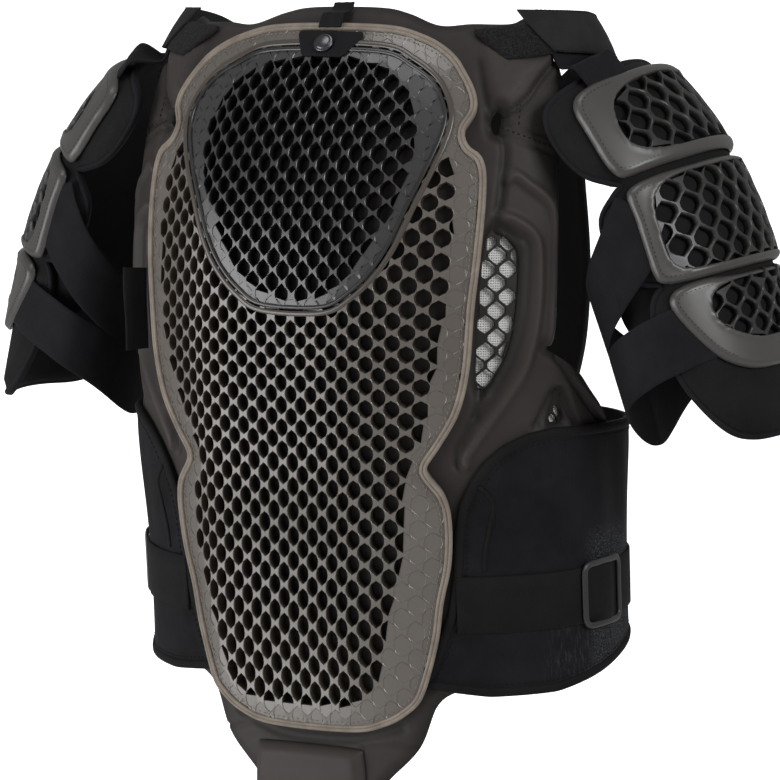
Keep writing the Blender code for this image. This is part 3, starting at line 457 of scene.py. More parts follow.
def gridSheet(outline, step, holes=()):
    # flat grid trimmed to an outline, its edge points set on the outline
    loops = [outline, *holes]
    low, high = outline.min(0) - step, outline.max(0) + step
    count = np.ceil((high - low) / step).astype(int)
    bm = bmesh.new()
    place = Matrix.Translation((*((low + high) / 2), 0)) @ Matrix.Diagonal((*(count * step / 2), 1, 1))
    bmesh.ops.create_grid(bm, x_segments=int(count[0]), y_segments=int(count[1]), size=1, matrix=place)
    bm.faces.ensure_lookup_table()
    centres = np.array([f.calc_center_median()[:2] for f in bm.faces])
    keep = inside(centres, outline)
    for hole in holes:
        keep &= ~inside(centres, hole)
    bmesh.ops.delete(bm, geom=[f for f, kept in zip(bm.faces, keep) if not kept], context="FACES")
    for _ in range(4):   # no spikes and no faces that meet in one point
        spikes = [f for f in bm.faces if sum(e.is_boundary for e in f.edges) > 2]
        pinched = [v.link_faces[0] for v in bm.verts if sum(e.is_boundary for e in v.link_edges) > 2]
        if not spikes and not pinched:
            break
        bmesh.ops.delete(bm, geom=list(set(spikes + pinched)), context="FACES")
    edge = [v for v in bm.verts if v.is_boundary]
    for v, spot in zip(edge, nearest(np.array([v.co[:2] for v in edge]), loops)[1]):
        v.co = (*spot, 0)
    inner = [v for v in bm.verts if not v.is_boundary]
    for _ in range(4):
        bmesh.ops.smooth_vert(bm, verts=inner, factor=0.5, use_axis_x=True, use_axis_y=True, use_axis_z=True)
    return bm


def liftsAt(lift, points):
    # a lift is a number, or a function of the flat places
    return lift(points) if callable(lift) else np.full(len(points), lift)


def crowned(loops, edge, middle, width):
    # function of the flat places that goes from one value at the edge to another further in
    return lambda points: edge + (middle - edge) * ease(nearest(points, loops)[0] / width)


def addLayer(bm):
    # second layer of faces, joined to the first; tells which of all points are in it
    raised = bmesh.ops.extrude_face_region(bm, geom=bm.faces[:], use_keep_orig=True)
    added = {v for v in raised["geom"] if isinstance(v, bmesh.types.BMVert)}
    return np.array([v in added for v in bm.verts])


def thicken(bm, top, bottom):
    # closed solid from a flat sheet, between two lifts
    isTop = addLayer(bm)
    flat = flatPlaces(bm)
    flat[:, 2] = np.where(isTop, liftsAt(top, flat[:, :2]), liftsAt(bottom, flat[:, :2]))
    setPlaces(bm, flat)


def joinRows(rows):
    # faces between rows of places; places that coincide are joined
    rows = np.array(rows)
    across, down = rows.shape[1] - 1, rows.shape[0] - 1
    bm = bmesh.new()
    bmesh.ops.create_grid(bm, x_segments=across, y_segments=down, size=0.5)
    spots = flatPlaces(bm) + 0.5
    column = (spots[:, 0] * across).round().astype(int)
    row = (spots[:, 1] * down).round().astype(int)
    setPlaces(bm, rows[row, column])
    bmesh.ops.remove_doubles(bm, verts=bm.verts[:], dist=1e-7)
    return bm


def sweep(line, section, closed=True):
    # band along a flat line; its section is a ring of (sideways, lift) points
    line = np.asarray(line, float)
    side = sideways(line, closed)
    rows = [np.column_stack([line + side * across, np.full(len(line), lift)]) for across, lift in section]
    rows = np.array(rows + rows[:1])
    if closed:
        return joinRows(np.concatenate([rows, rows[:, :1]], 1))
    bm = joinRows(rows)
    bmesh.ops.holes_fill(bm, edges=[e for e in bm.edges if e.is_boundary], sides=0)
    return bm


def roundSection(halfWidth, lift, rise, under=0.0):
    # half round on a flat base
    turns = [math.pi * i / 6 for i in range(7)]
    top = [(halfWidth * math.cos(turn), lift + rise * math.sin(turn) ** 0.8) for turn in turns]
    return top + [(-halfWidth * 0.9, lift - under), (halfWidth * 0.9, lift - under)]


def strapSection(halfWidth, lift, thick):
    # flat strap, a little crowned, with rounded edges
    ring = [(1, 0.5), (0.97, 1), (0.5, 1.05), (0, 1.1), (-0.5, 1.05), (-0.97, 1), (-1, 0.5), (-0.97, 0),
            (0, 0), (0.97, 0)]
    return [(halfWidth * side, lift + thick * level) for side, level in ring]


def barSection(half, low, side, crown, share):
    # bar with a bevelled top; share is the width of its flat
    right = [(half, low), (half, side), (half * share, crown)]
    return right + [(-across, lift) for across, lift in reversed(right)]


def meshFrom(name, bm):
    mesh = bpy.data.meshes.new(name)
    bm.to_mesh(mesh)
    bm.free()
    return mesh


def addToScene(name, data):
    made = bpy.data.objects.new(name, data)
    bpy.context.scene.collection.objects.link(made)
    return made


def addWall(piece, thick):
    wall = piece.modifiers.new("wall", "SOLIDIFY")
    wall.thickness, wall.offset = thick, 0


def addObject(name, bm, look, nodes, levels):
    piece = addToScene(name, meshFrom(name, bm))
    piece.data.materials.append(look.material)
    if levels:
        soft = piece.modifiers.new("soft", "SUBSURF")
        soft.levels = soft.render_levels = levels
    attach(piece, "root")
    if nodes:
        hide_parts(*nodes)
    return piece


def addPiece(name, bm, finish, form=None, nodes=(), levels=0, heights=None, sharp=0):
    # finished object with its flat places kept for the weave; sharp is the least angle of a hard edge
    flat = flatPlaces(bm)
    if form:
        setPlaces(bm, form.lay(flat))
    bmesh.ops.recalc_face_normals(bm, faces=bm.faces[:])
    piece = addObject(name, bm, finishes[finish], nodes, levels)
    mesh = piece.data
    places = mesh.attributes.new("flat", "FLOAT_VECTOR", "POINT")
    places.data.foreach_set("vector", flat.astype(np.float32).ravel())
    # the height share steers the painted shade and light of the plate finish
    if heights is not None:
        kept = mesh.attributes.new("height", "FLOAT", "POINT")
        kept.data.foreach_set("value", np.broadcast_to(heights, len(flat)).astype(np.float32))
    mesh.polygons.foreach_set("use_smooth", [True] * len(mesh.polygons))
    if sharp:
        mesh.set_sharp_from_angle(angle=math.radians(sharp))
    return piece


def addPair(name, bm, finish, form, node=None, levels=0, heights=None, sharp=0):
    # a piece, and its mirrored copy on the wearer's left
    right = addPiece(name + "Right", bm, finish, form, [node + "_right"] if node else (), levels, heights,
                     sharp)
    bm = bmesh.new()
    bm.from_mesh(right.data)
    bmesh.ops.scale(bm, vec=(-1, 1, 1), verts=bm.verts)
    bmesh.ops.reverse_faces(bm, faces=bm.faces)
    left = addObject(name + "Left", bm, finishes[finish], [node + "_left"] if node else (), levels)
    return right, left


def stitches(name, line, form, lift, finish, closed=True, length=0.0026, gap=0.0014, width=0.0007,
             pair=False):
    # short threads along a flat line
    spots = smoothLine(line, length + gap, closed)
    ahead = np.roll(spots, -1, 0) if closed else spots[1:]
    spots = spots if closed else spots[:-1]
    starts, ends, above = [form.lay(np.column_stack([places, np.full(len(places), level)]))
                           for places, level in ((spots, lift), (ahead, lift), (spots, lift + 0.01))]
    bm = bmesh.new()
    for start, end, out in zip(starts, ends, above - starts):
        run, out = Vector(end - start).normalized(), Vector(out).normalized()
        turn = Matrix((run, out.cross(run), out)).transposed().to_4x4()
        place = Matrix.Translation(Vector(start) + run * length / 2) @ turn
        place = place @ Matrix.Diagonal((length / 2, width / 2, width / 2.5, 1))
        bmesh.ops.create_icosphere(bm, subdivisions=1, radius=1, matrix=place)
    return (addPair if pair else addPiece)(name, bm, finish, None)


# Honeycomb sheets
comb = {"seam": 0.0002, "slope": 0.0004, "chamfer": 0.0003, "join": 0.00012}   # small steps of every sheet


def cutBeside(bm, loop, reach):
    # cuts the faces beside each stretch of a closed line
    middles = np.array([f.calc_center_median()[:2] for f in bm.faces])
    close = nearest(middles, [loop])[0] < reach * 1.5
    beside = {f for f, isClose in zip(bm.faces, close) if isClose}
    for a, b in zip(loop, np.roll(loop, -1, 0)):
        middle, run = (a + b) / 2, b - a
        half = math.hypot(*run) / 2 + reach
        near = [f for f in beside if math.dist(f.calc_center_median()[:2], middle) < half]
        geom = list({e for f in near for e in f.edges}) + list({v for f in near for v in f.verts}) + near
        made = bmesh.ops.bisect_plane(bm, geom=geom, dist=1e-5, plane_co=(*a, 0),
                                      plane_no=(-run[1], run[0], 0))
        beside |= {f for f in made["geom"] if isinstance(f, bmesh.types.BMFace)}


def pressIn(bm, faces, inset, depth):
    # a ring inside each face, and the face set down
    bmesh.ops.inset_individual(bm, faces=faces, thickness=inset)
    for f in faces:
        for v in f.verts:
            v.co.z = -depth


def spread(places, shape):
    # even cells to the real ones, which widen to the sides, grow downward and lean
    places = np.array(places, float)
    if "rows" in shape:
        places[:, 1] = np.interp(places[:, 1], *metres(shape["rows"]).T)
        lean = np.interp(places[:, 1], *metres(shape["lean"]).T)
        places[:, 0] = np.interp(places[:, 0], *metres(shape["columns"]).T) + lean
    return places


def drawTiles(centres, shape):
    # joined six-sided tiles with a numbered hole in each
    pitch, rise = shape["pitch"], shape["rise"]
    halfTall, halfSide = rise * shape["tall"], rise * (1 - shape["tall"])
    # a quarter of a tile and a quarter of its hole, from the top to the side
    corners = [(0, halfTall), (pitch / 4, rise / 2), (pitch / 2, halfSide), (pitch / 2, 0)]
    curve = [(0, 1), *shape["curve"], (1, 0)]
    bm = bmesh.new()
    holeNumber = bm.faces.layers.int.new("holeNumber")
    bm.faces.layers.int.new("pierced")
    tiles = []
    for x, y in centres:
        made = bmesh.ops.create_circle(bm, cap_ends=True, radius=1, segments=12)["verts"]
        tiles.append(made[0].link_faces[0])
        for v in made:
            across, down = corners[sum(abs(v.co.x) > limit for limit in (0.1, 0.6, 0.9))]
            v.co = (x + math.copysign(across, v.co.x), y + math.copysign(down, v.co.y), 0)
    bmesh.ops.remove_doubles(bm, verts=bm.verts[:], dist=pitch * 0.01)
    bmesh.ops.inset_individual(bm, faces=tiles, thickness=comb["seam"])
    for f in bm.faces:
        f[holeNumber] = 0
    for number, (f, (x, y)) in enumerate(zip(tiles, centres)):
        f[holeNumber] = number + 1
        for v in f.verts:
            side, level = v.co.x - x, v.co.y - y
            kind = sum(abs(side) > pitch * limit for limit in (0.08, 0.38))
            kind += abs(side) > pitch * 0.38 and abs(level) < halfSide * 0.4
            across, down = curve[kind]
            v.co = (x + math.copysign(across * shape["hole"][0], side),
                    y + math.copysign(down * shape["hole"][1], level), 0)
    return bm


def honeycomb(outline, openings, shape, gaps=(), rims=()):
    # tiles trimmed to an outline. Holes inside the openings are pierced and the rest are pressed in, apart
    # from those in a rim. Lifts are set below 0, and the caller puts the sheet in its place.
    pitch, rise = shape["pitch"], shape["rise"]
    low, high = outline.min(0) - 0.03, outline.max(0) + 0.03
    startX, startY = shape["start"]
    rows = range(math.floor((low[1] - startY) / rise), math.ceil((high[1] - startY) / rise))
    columns = range(math.floor((low[0] - startX) / pitch), math.ceil((high[0] - startX) / pitch))
    centres = np.array([(startX + (column + (row % 2) / 2) * pitch, startY + row * rise)
                        for row in rows for column in columns])
    wanted = spread(centres, shape)
    centres = centres[inside(wanted, outline) | (nearest(wanted, [outline])[0] < pitch * 1.2)]
    bm = drawTiles(centres, shape)
    flat = flatPlaces(bm)
    setPlaces(bm, np.column_stack([spread(flat[:, :2], shape), flat[:, 2]]))
    for loop in [outline, *openings, *gaps, *rims]:
        cutBeside(bm, loop, pitch * 0.6)

    holeNumber, pierced = bm.faces.layers.int["holeNumber"], bm.faces.layers.int["pierced"]
    middles = np.array([f.calc_center_median()[:2] for f in bm.faces])
    keep = inside(middles, outline)
    inGap, openHere, inRim = [sum((inside(middles, loop) for loop in loops), np.zeros(len(middles))) > 0
                              for loops in (gaps, openings, rims)]
    for f, isOpen, isRim in zip(bm.faces, openHere, inRim):
        f[pierced] = int(isOpen and not isRim)
        f[holeNumber] *= not isRim
    dropped = [f for f, kept in zip(bm.faces, keep & ~inGap) if not kept]
    bmesh.ops.delete(bm, geom=dropped, context="FACES")
    inner = [e for e in bm.edges if len(e.link_faces) == 2 and e.link_faces[0][holeNumber] > 0
             and e.link_faces[0][holeNumber] == e.link_faces[1][holeNumber]
             and e.link_faces[0][pierced] == e.link_faces[1][pierced]]
    bmesh.ops.dissolve_edges(bm, edges=inner, use_verts=True, use_face_split=False)
    bmesh.ops.remove_doubles(bm, verts=bm.verts[:], dist=comb["join"])
    if sum(f.normal.z for f in bm.faces) < 0:
        bmesh.ops.reverse_faces(bm, faces=bm.faces)
    holes = [f for f in bm.faces if f[holeNumber] and f.calc_area() > pitch * rise * shape["least"]]
    cells = [f for f in holes if f[pierced]]
    if shape["emboss"]:
        pressIn(bm, [f for f in holes if not f[pierced]], comb["slope"], shape["emboss"])
    whole = [f for f in cells if len(f.verts) == 12]
    pressIn(bm, whole, comb["chamfer"], comb["chamfer"])
    if "cup" in shape:
        pressIn(bm, whole, shape["cup"], shape["deep"])
    bmesh.ops.delete(bm, geom=cells, context="FACES")
    return bm


def thickenComb(bm, top, thick, lift):
    # closed plate from a honeycomb sheet; top is a share of the thickness, or a function of the flat places
    isLow = addLayer(bm)
    flat = flatPlaces(bm)
    depth = np.where(isLow, -thick, flat[:, 2])
    flat[:, 2] = np.where(isLow, lift, np.maximum(lift + thick * liftsAt(top, flat[:, :2]) + depth, lift))
    setPlaces(bm, flat)
    # this height share steers the painted shade and light down the cells in the plate finish
    return np.clip(1 + depth / thick, 0, 1)


def addPlate(name, node, finish, sheet, loop, edge, slope, thick):
    # pierced plate on the torso, lower along its edge
    heights = thickenComb(sheet, crowned([loop], edge, 1, slope), thick, layerStart)
    addPiece(name, sheet, finish, torso, [node], 0, heights, 30)


# Back plate and its insert
plate = {"halfWidth": 0.116, "height": 0.457, "top": 0.034, "thick": 0.0075}
plateHalf = [
    (0.33, 0.005), (0.60, 0.018), (0.77, 0.040), (0.86, 0.067), (0.91, 0.092), (0.915, 0.109), (0.865, 0.135),
    (0.90, 0.160), (0.98, 0.176), (1.0, 0.215), (0.985, 0.295), (0.955, 0.375), (0.93, 0.455), (0.875, 0.515),
    (0.775, 0.563), (0.70, 0.595), (0.72, 0.615), (0.79, 0.640), (0.82, 0.675), (0.81, 0.737), (0.76, 0.797),
    (0.72, 0.859), (0.635, 0.935), (0.56, 0.960), (0.445, 0.979), (0.25, 0.992)]
insert = {"halfWidth": 0.094, "height": 0.164, "top": 0.046, "groove": 0.0009, "rim": 0.0032}
insertHalf = [
    (0.42, 0.01), (0.70, 0.06), (0.88, 0.13), (0.98, 0.24), (0.97, 0.33), (0.90, 0.44), (0.80, 0.57),
    (0.69, 0.72), (0.57, 0.83), (0.41, 0.92), (0.22, 0.975)]
insertOpenHalf = [(26, 54), (48, 60), (62, 70), (71, 86), (74, 102), (73, 118), (68, 134), (60, 151),
                  (50, 167), (38, 184), (24, 195), (10, 200)]   # millimetres
plateOpenRight = [(70, 96), (88, 104), (99, 120), (102, 140), (101, 174), (98, 200), (94, 224), (90, 249),
                  (81, 290), (72, 312), (69, 340), (66, 369), (60, 397), (54, 425), (46, 457), (32, 471),
                  (10, 474)]
plateOpenLeft = [(-70, 96), (-90, 104), (-101, 120), (-104, 143), (-103, 175), (-101, 206), (-97, 234),
                 (-90, 262), (-80, 290), (-74, 306), (-76, 320), (-82, 335), (-83, 364), (-79, 392),
                 (-74, 416), (-68, 442), (-60, 461), (-50, 471), (-36, 474)]
cellShape = {"pitch": 0.0140, "rise": 0.0075, "tall": 0.92, "hole": (0.0044, 0.0065), "emboss": 0.0004,
             "curve": ((0.73, 0.64), (0.95, 0.31)), "start": (0.0035, 0.299), "least": 0.12, "cup": 0.0006,
             "deep": 0.0040}
plateCells = {  # tables in millimetres: even place and real place, and how far the columns lean at each level
    **cellShape,
    "rows": [(-30, -15), (29, 40), (89, 96.5), (149, 153), (209, 212.5), (254, 254), (299, 299), (329, 331),
             (359, 365.5), (389, 400.5), (419, 438), (449, 475), (509, 549)],
    "columns": [(-136.5, -124), (-87.5, -82), (-66.5, -66), (38.5, 39), (45.5, 47.5), (59.5, 63.5),
                (66.5, 72.5), (80.5, 91), (122.5, 148)],
    "lean": [(60, 5.5), (140, 4.7), (200, 3.0), (290, 0.2), (315, -0.5), (348, -3.2), (384, -5.8),
             (420, -7.8), (440, -8.0), (480, -7.0)]}
insertCells = {**plateCells, "hole": (0.0048, 0.0068), "curve": ((0.74, 0.64), (0.95, 0.31))}
grooveRims = [("upperPlateRim", -0.0014, 0.0013, "black"), ("plateGrooveRim", 0.0025, 0.0018, "smoke")]


def shareLoop(half, shape):
    # closed outline of a plate, from its right half in shares of its size
    return smoothLine(mirrorHalf(half, shape["halfWidth"], shape["height"], shape["top"]), 0.006, True)


plateLoop, insertLoop = shareLoop(plateHalf, plate), shareLoop(insertHalf, insert)


def addPlates():
    opening = smoothLine(metres(plateOpenRight + plateOpenLeft[::-1]), 0.006, True)
    sheet = honeycomb(plateLoop, [opening], plateCells, [grow(insertLoop, insert["groove"])],
                      [grow(insertLoop, insert["rim"])])
    addPlate("backPlate", "back_plate", "smoke", sheet, plateLoop, 0.90, 0.010, plate["thick"])
    sheet = honeycomb(insertLoop, [halfLoop(insertOpenHalf, 0.006)], insertCells)
    addPlate("upperPlate", "upper_plate", "black", sheet, insertLoop, 0.92, 0.004, plate["thick"])
    for name, away, halfWidth, finish in grooveRims:   # raised on both sides of the groove
        line = smoothLine(grow(insertLoop, away), 0.003, True)
        rim = sweep(line, roundSection(halfWidth, plateFace - 0.0004, 0.0013, 0.001))
        addPiece(name, rim, finish, torso, (), 0, 0.8)


# Binding tape round the plate, with one stitched row
binding = {"halfWidth": 0.0023, "offset": 0.0017, "rise": 0.0021, "base": -0.0012, "skirt": 0.0055,
           "stitchInset": 0.0026}
bindingSection = [(1, 0.35), (0.86, 0.75), (0.55, 1), (0.28, 0.85), (0.12, 0.5), (-0.04, 0.85), (-0.4, 1.05),
                  (-0.8, 0.8), (-1, 0.3)]   # shares of the half width and the rise


def addBinding():
    middle = smoothLine(grow(plateLoop, binding["offset"]), 0.003, True)
    half, base = binding["halfWidth"], plateFace + binding["base"]
    section = [(half * side, base + binding["rise"] * level) for side, level in bindingSection]
    section += [(-half * 0.9, base - binding["skirt"]), (half * 0.9, base - binding["skirt"])]
    addPiece("plateBinding", sweep(middle, section), "tape", torso, ["plate_binding"])
    stitches("bindingStitches", grow(plateLoop, -binding["stitchInset"]), torso, plateFace - 0.0003, "tape",
             width=0.0006, length=0.0022)


# Back foam: a moulded panel with windows, raised tubes, a pillow on each shoulder and a tail
foam = {"halfWidth": 0.230, "height": 0.546, "top": 0.012, "step": 0.0021, "relief": 1.75}
foamLift = {"face": 9.0, "edgeDrop": 3.6, "edgeWidth": 7.0, "pillow": 2.6, "pillowWidth": 12.0, "folds": 0.35,
            "waves": 0.25, "least": 1.6}   # millimetres
foamHalf = [
    (0.13, 0.005), (0.24, 0.012), (0.35, 0.026), (0.46, 0.024), (0.60, 0.024), (0.67, 0.018), (0.725, 0.030),
    (0.745, 0.060), (0.765, 0.110), (0.755, 0.195), (0.75, 0.380), (0.705, 0.400), (0.76, 0.415),
    (0.87, 0.450),
    (0.98, 0.500), (1.0, 0.580), (0.95, 0.710), (0.65, 0.790), (0.45, 0.822), (0.37, 0.843), (0.31, 0.900),
    (0.20, 0.950), (0.175, 0.985), (0.15, 1.0)]
# Right-side features, in millimetres around and along
windowLine = [(131, 157), (143, 167), (145, 181), (143.5, 207), (140.5, 225), (134.5, 241), (123, 257),
              (117, 252), (119, 207), (122.5, 163)]
lowWindowLine = [(172, 262), (175.5, 264), (178, 278), (176, 282), (168, 282), (166.5, 278)]
eyeletLine = [(124, 79), (127.5, 83), (128, 88), (126, 94), (123.5, 95), (121, 91), (120.5, 85)]
ridges = [  # raised tubes: line, half width, height
    ([(134, 123), (139, 120), (148, 126), (161, 135), (167, 144), (169.5, 158), (169, 180), (168, 200),
      (166, 222), (165, 230)], 4.2, 1.7),
    ([(129, 147), (136, 147), (146, 152), (153, 158), (156.5, 167), (157, 194), (155, 215), (151, 233),
      (146, 247), (136, 262), (122, 282), (110, 300), (108.5, 307)], 4.0, 1.9),
    ([(178, 236), (194, 256), (212, 275), (230, 292)], 5.0, 1.6)]
channels = [  # pressed lines: line, half width, depth
    ([(125, 95), (130, 100), (131.5, 112), (130, 137), (126, 158), (121.5, 200), (120, 246), (117, 269),
      (110, 286), (104, 297), (104, 308)], 3.6, 1.5),
    ([(131, 152), (141, 158), (150, 165), (151, 190), (149, 212), (143, 234), (130, 258), (117, 276)], 3.0,
     1.3),
    ([(171, 238), (181, 252), (194, 267), (214, 285)], 3.0, 1.6),
    ([(155, 283), (161, 272), (168, 260), (175, 262), (183, 276), (187, 285)], 3.0, 1.6),
    ([(127, 89), (140, 92), (164, 98)], 1.6, 0.9),
    ([(127, 94), (142, 100), (165, 108)], 1.6, 0.9),
    ([(172, 46), (165, 53), (154, 62), (146, 72), (134, 81), (122, 84)], 3.6, 1.8),
    ([(109, 52), (113, 70), (118, 84)], 3.0, 1.0)]
pillowLine = [(112, 38), (146, 42), (168, 43), (172, 46), (163, 53), (152, 62), (144, 71), (133, 79),
              (120, 82), (112, 66)]
tailCreases = [([(-80, 499), (-66, 499), (-52, 494)], 2.0, 0.8),
               ([(34, 503), (60, 500), (78, 502)], 2.0, 0.8),
               ([(-60, 486), (-30, 497), (0, 499), (30, 497), (60, 488)], 5.0, 1.2)]
foamSeams = [  # name, line, lift, thread width
    ("foamSeam0", [(181, 47), (178, 56), (174, 66)], 9.3, 0.9),
    ("foamSeam1", [(139, 76), (139, 84), (139, 91)], 9.3, 0.9),
    ("foldSeam0", [(127, 91.5), (142, 96), (164, 103)], 9.5, 0.8)]


def foamTop(points):
    side = np.column_stack([np.abs(points[:, 0]), points[:, 1]]) * 1000
    distance = nearest(points, foamLoops())[0] * 1000
    lift = foamLift["face"] - foamLift["edgeDrop"] * (1 - ease(distance / foamLift["edgeWidth"]))
    for lines, sign, spots in ((ridges, 1, side), (channels, -1, side), (tailCreases, -1, points * 1000)):
        for line, halfWidth, height in lines:
            gap = nearest(spots, [smoothLine(line, 3)], closed=False)[0]
            lift += sign * height * foam["relief"] * ease(1.15 - gap / halfWidth)
    pillow = smoothLine(pillowLine, 3, True)
    depth = np.where(inside(side, pillow), nearest(side, [pillow])[0], 0)
    lift += foamLift["pillow"] * ease(depth / foamLift["pillowWidth"])
    folds = np.sin(side[:, 0] * 0.55 + side[:, 1] * 0.9) * np.sin(side[:, 0] * 0.21 - side[:, 1] * 0.13)
    lift += foamLift["folds"] * folds * ease(depth / 8.0)
    wave = np.sin(side[:, 0] * 0.083 + 1.3) * np.sin(side[:, 1] * 0.061 + points[:, 0] * 9)
    return np.maximum(lift + foamLift["waves"] * wave * ease(distance / 15), foamLift["least"]) * 0.001


def foamLoops():
    loops = [smoothLine(mirrorHalf(foamHalf, foam["halfWidth"], foam["height"], foam["top"]), 0.004, True)]
    for line in (windowLine, lowWindowLine, eyeletLine):
        hole = smoothLine(metres(line), 0.003, True)
        loops += [hole, hole * (-1, 1)]
    return loops


def addBackFoam():
    loops = foamLoops()
    sheet = gridSheet(loops[0], foam["step"], loops[1:])
    thicken(sheet, foamTop, crowned(loops, 0.0010, 0.0, 0.004))
    piece = addPiece("backFoam", sheet, "foam", torso, ["back_foam"])
    for name, line, lift, width in foamSeams:
        stitches(name, metres(line), torso, lift * 0.001, "cloth", False, width=width * 0.001, pair=True)


# Windows: a six-sided frame in the foam, dark with the foam finish's painted shade as it lies low, and pale
# net behind it
windowFrame = {"pitch": 0.0150, "rise": 0.0089, "tall": 0.80, "hole": (0.0064, 0.0064), "emboss": 0.0,
               "curve": ((0.56, 0.63), (0.97, 0.26)), "start": (0.1310, 0.171), "least": 0.14}
lowFrame = {**windowFrame, "pitch": 0.013, "rise": 0.0085, "hole": (0.0052, 0.0060),
            "start": (0.1765, 0.2735)}
net = {"pitch": 0.00165, "wire": 0.00115, "lift": -0.0009}
netLine = [(114.5, 149), (152, 149), (152, 236), (189, 259), (189, 289), (153, 289), (114.5, 264)]


def addWindows():
    for name, line, shape in (("windowFrame", windowLine, windowFrame),
                              ("lowFrame", lowWindowLine, lowFrame)):
        outer = smoothLine(metres(line), 0.004, True)
        sheet = honeycomb(grow(outer, 0.0015), [grow(outer, -0.001)], shape)
        thickenComb(sheet, 1.0, 0.0024, 0.0014)
        # the frame lies low, so the foam finish paints it with its shade tone
        addPair(name, sheet, "foam", torso, sharp=30)
    sheet = gridSheet(denseLoop(metres(netLine), 0.004), net["pitch"])
    for v in sheet.verts:
        v.co.z = net["lift"]
    bmesh.ops.wireframe(sheet, faces=sheet.faces[:], thickness=net["wire"], offset=0, use_replace=True,
                        use_boundary=True, use_even_offset=True)
    for piece in addPair("sideMesh", sheet, "net", torso, "side_mesh"):
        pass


# Lumbar pad at the tail
lumbar = {"centre": -0.005, "halfWidth": 0.0405, "height": 0.043, "top": 0.504, "base": 0.0005,
          "rise": 0.0063, "sunk": 0.0012, "step": 0.0022}
lumbarHalf = [(0.80, 0.0), (0.97, 0.12), (1.0, 0.80), (0.85, 1.0)]


def addLumbarPad():
    loop = smoothLine(mirrorHalf(lumbarHalf, lumbar["halfWidth"], lumbar["height"], lumbar["top"],
                                 lumbar["centre"]), 0.003, True)

    def top(points):
        depth = nearest(points, [loop])[0]
        return layerStart + lumbar["base"] + lumbar["rise"] * ease(depth / 0.008 + 0.05) ** 0.6

    sheet = gridSheet(loop, lumbar["step"])
    thicken(sheet, top, layerStart - lumbar["sunk"])
    piece = addPiece("lumbarPad", sheet, "foam", torso, ["lumbar_pad"], 1)


# Snap and its patch, the collar tag and the side label
snap = {"face": 0.0006, "thick": 0.0013, "place": (-0.001, 0.0463), "seat": 0.0012}
snapPatchLine = [(-26, 37.2), (31, 38.0), (14.5, 53.6), (-16.5, 53.0)]
snapRim = [(0, 3.4), (4.2, 3.3), (5.2, 2.8), (5.6, 2.2), (6.2, 2.4), (6.8, 1.9), (7.0, 1.0), (6.8, 0), (0, 0)]
tag = {"under": 0.0185, "over": 0.0280, "climb": 0.0096, "thick": 0.0012}
tagLine = [(-9.0, 15.0), (8.8, 14.5), (9.0, 36.2), (-9.2, 36.5)]
label = {"around": -0.1324, "level": 0.215, "middle": 0.01375, "width": 0.0165, "tall": 0.054,
         "sunk": 0.0045, "bend": 0.0012, "thick": 0.0009}


def addSnap():
    patch = denseLoop(metres(snapPatchLine), 0.003)
    face = plateFace + snap["face"]
    sheet = gridSheet(patch, 0.0022)
    thicken(sheet, lambda p: face + snap["thick"] * ease(nearest(p, [patch])[0] / 0.0012 + 0.4), face)
    addPiece("snapPatch", sheet, "cloth", torso, ["snap_patch"], 1)

    seat, outer = torso.lay([(*snap["place"], face + snap["seat"] + more) for more in (0, 0.01)])
    bm = bmesh.new()
    verts = [bm.verts.new((radius, 0, height)) for radius, height in metres(snapRim)]
    edges = [bm.edges.new(pair) for pair in zip(verts, verts[1:])]
    bmesh.ops.spin(bm, geom=verts + edges, cent=(0, 0, 0), axis=(0, 0, 1), angle=2 * math.pi, steps=40,
                   use_merge=True)
    bmesh.ops.remove_doubles(bm, verts=bm.verts[:], dist=1e-6)
    turn = Vector(outer - seat).to_track_quat("Z", "X").to_matrix().to_4x4()
    bmesh.ops.transform(bm, matrix=Matrix.Translation(Vector(seat)) @ turn, verts=bm.verts)
    addPiece("snapButton", bm, "steel", None, ["snap_button"])


def addTag():
    # folded over the binding at the collar
    def under(points):
        climb = ease((points[:, 1] - tag["under"]) / (tag["over"] - tag["under"]))
        return layerStart + 0.0004 + climb * tag["climb"] + 0.0002 * np.sin(points[:, 0] * 900)

    sheet = gridSheet(denseLoop(metres(tagLine), 0.002), 0.0014)
    thicken(sheet, lambda p: under(p) + tag["thick"], under)
    addPiece("hangingLoop", sheet, "cloth", torso, ["hanging_loop"])


def addLabel():
    # stands out from the left edge
    size = Matrix.Diagonal((label["width"], label["tall"], 1, 1))
    bm = bmesh.new()
    bmesh.ops.create_grid(bm, x_segments=10, y_segments=26, size=0.5,
                          matrix=Matrix.Translation((label["middle"], label["level"], 0)) @ size)
    flat = flatPlaces(bm)
    out, level = flat[:, 0], flat[:, 1]
    bend = label["bend"] * np.sin(level * 90) * (out / 0.017)
    setPlaces(bm, np.column_stack([label["around"] + bend, level, foamFace + out - label["sunk"]]))
    addWall(addPiece("sideLabel", bm, "cloth", torso, ["side_label"]), label["thick"])


# Hook patches and shoulder straps
hookPatch = {"base": 0.0008, "face": 0.0022, "rise": 0.0007, "rough": 0.0005, "step": 0.0017, "seed": 4}
hookPatchLine = [(104, 32), (141, 29), (163, 29), (170, 46), (152, 48.5), (129, 51)]
shoulder = {"halfWidth": 0.0128, "thick": 0.0018, "lift": 0.0030, "slant": 0.85, "roundness": 16,
            "endLength": 0.026, "seamOffset": 0.0122, "seamLift": 0.0049}
shoulderLine = [(152.5, 33.5), (175, 34.0), (202.7, 34.5), (239.4, 35.5), (276.1, 40), (312.8, 54),
                (349.5, 73), (360.0, 80.0)]


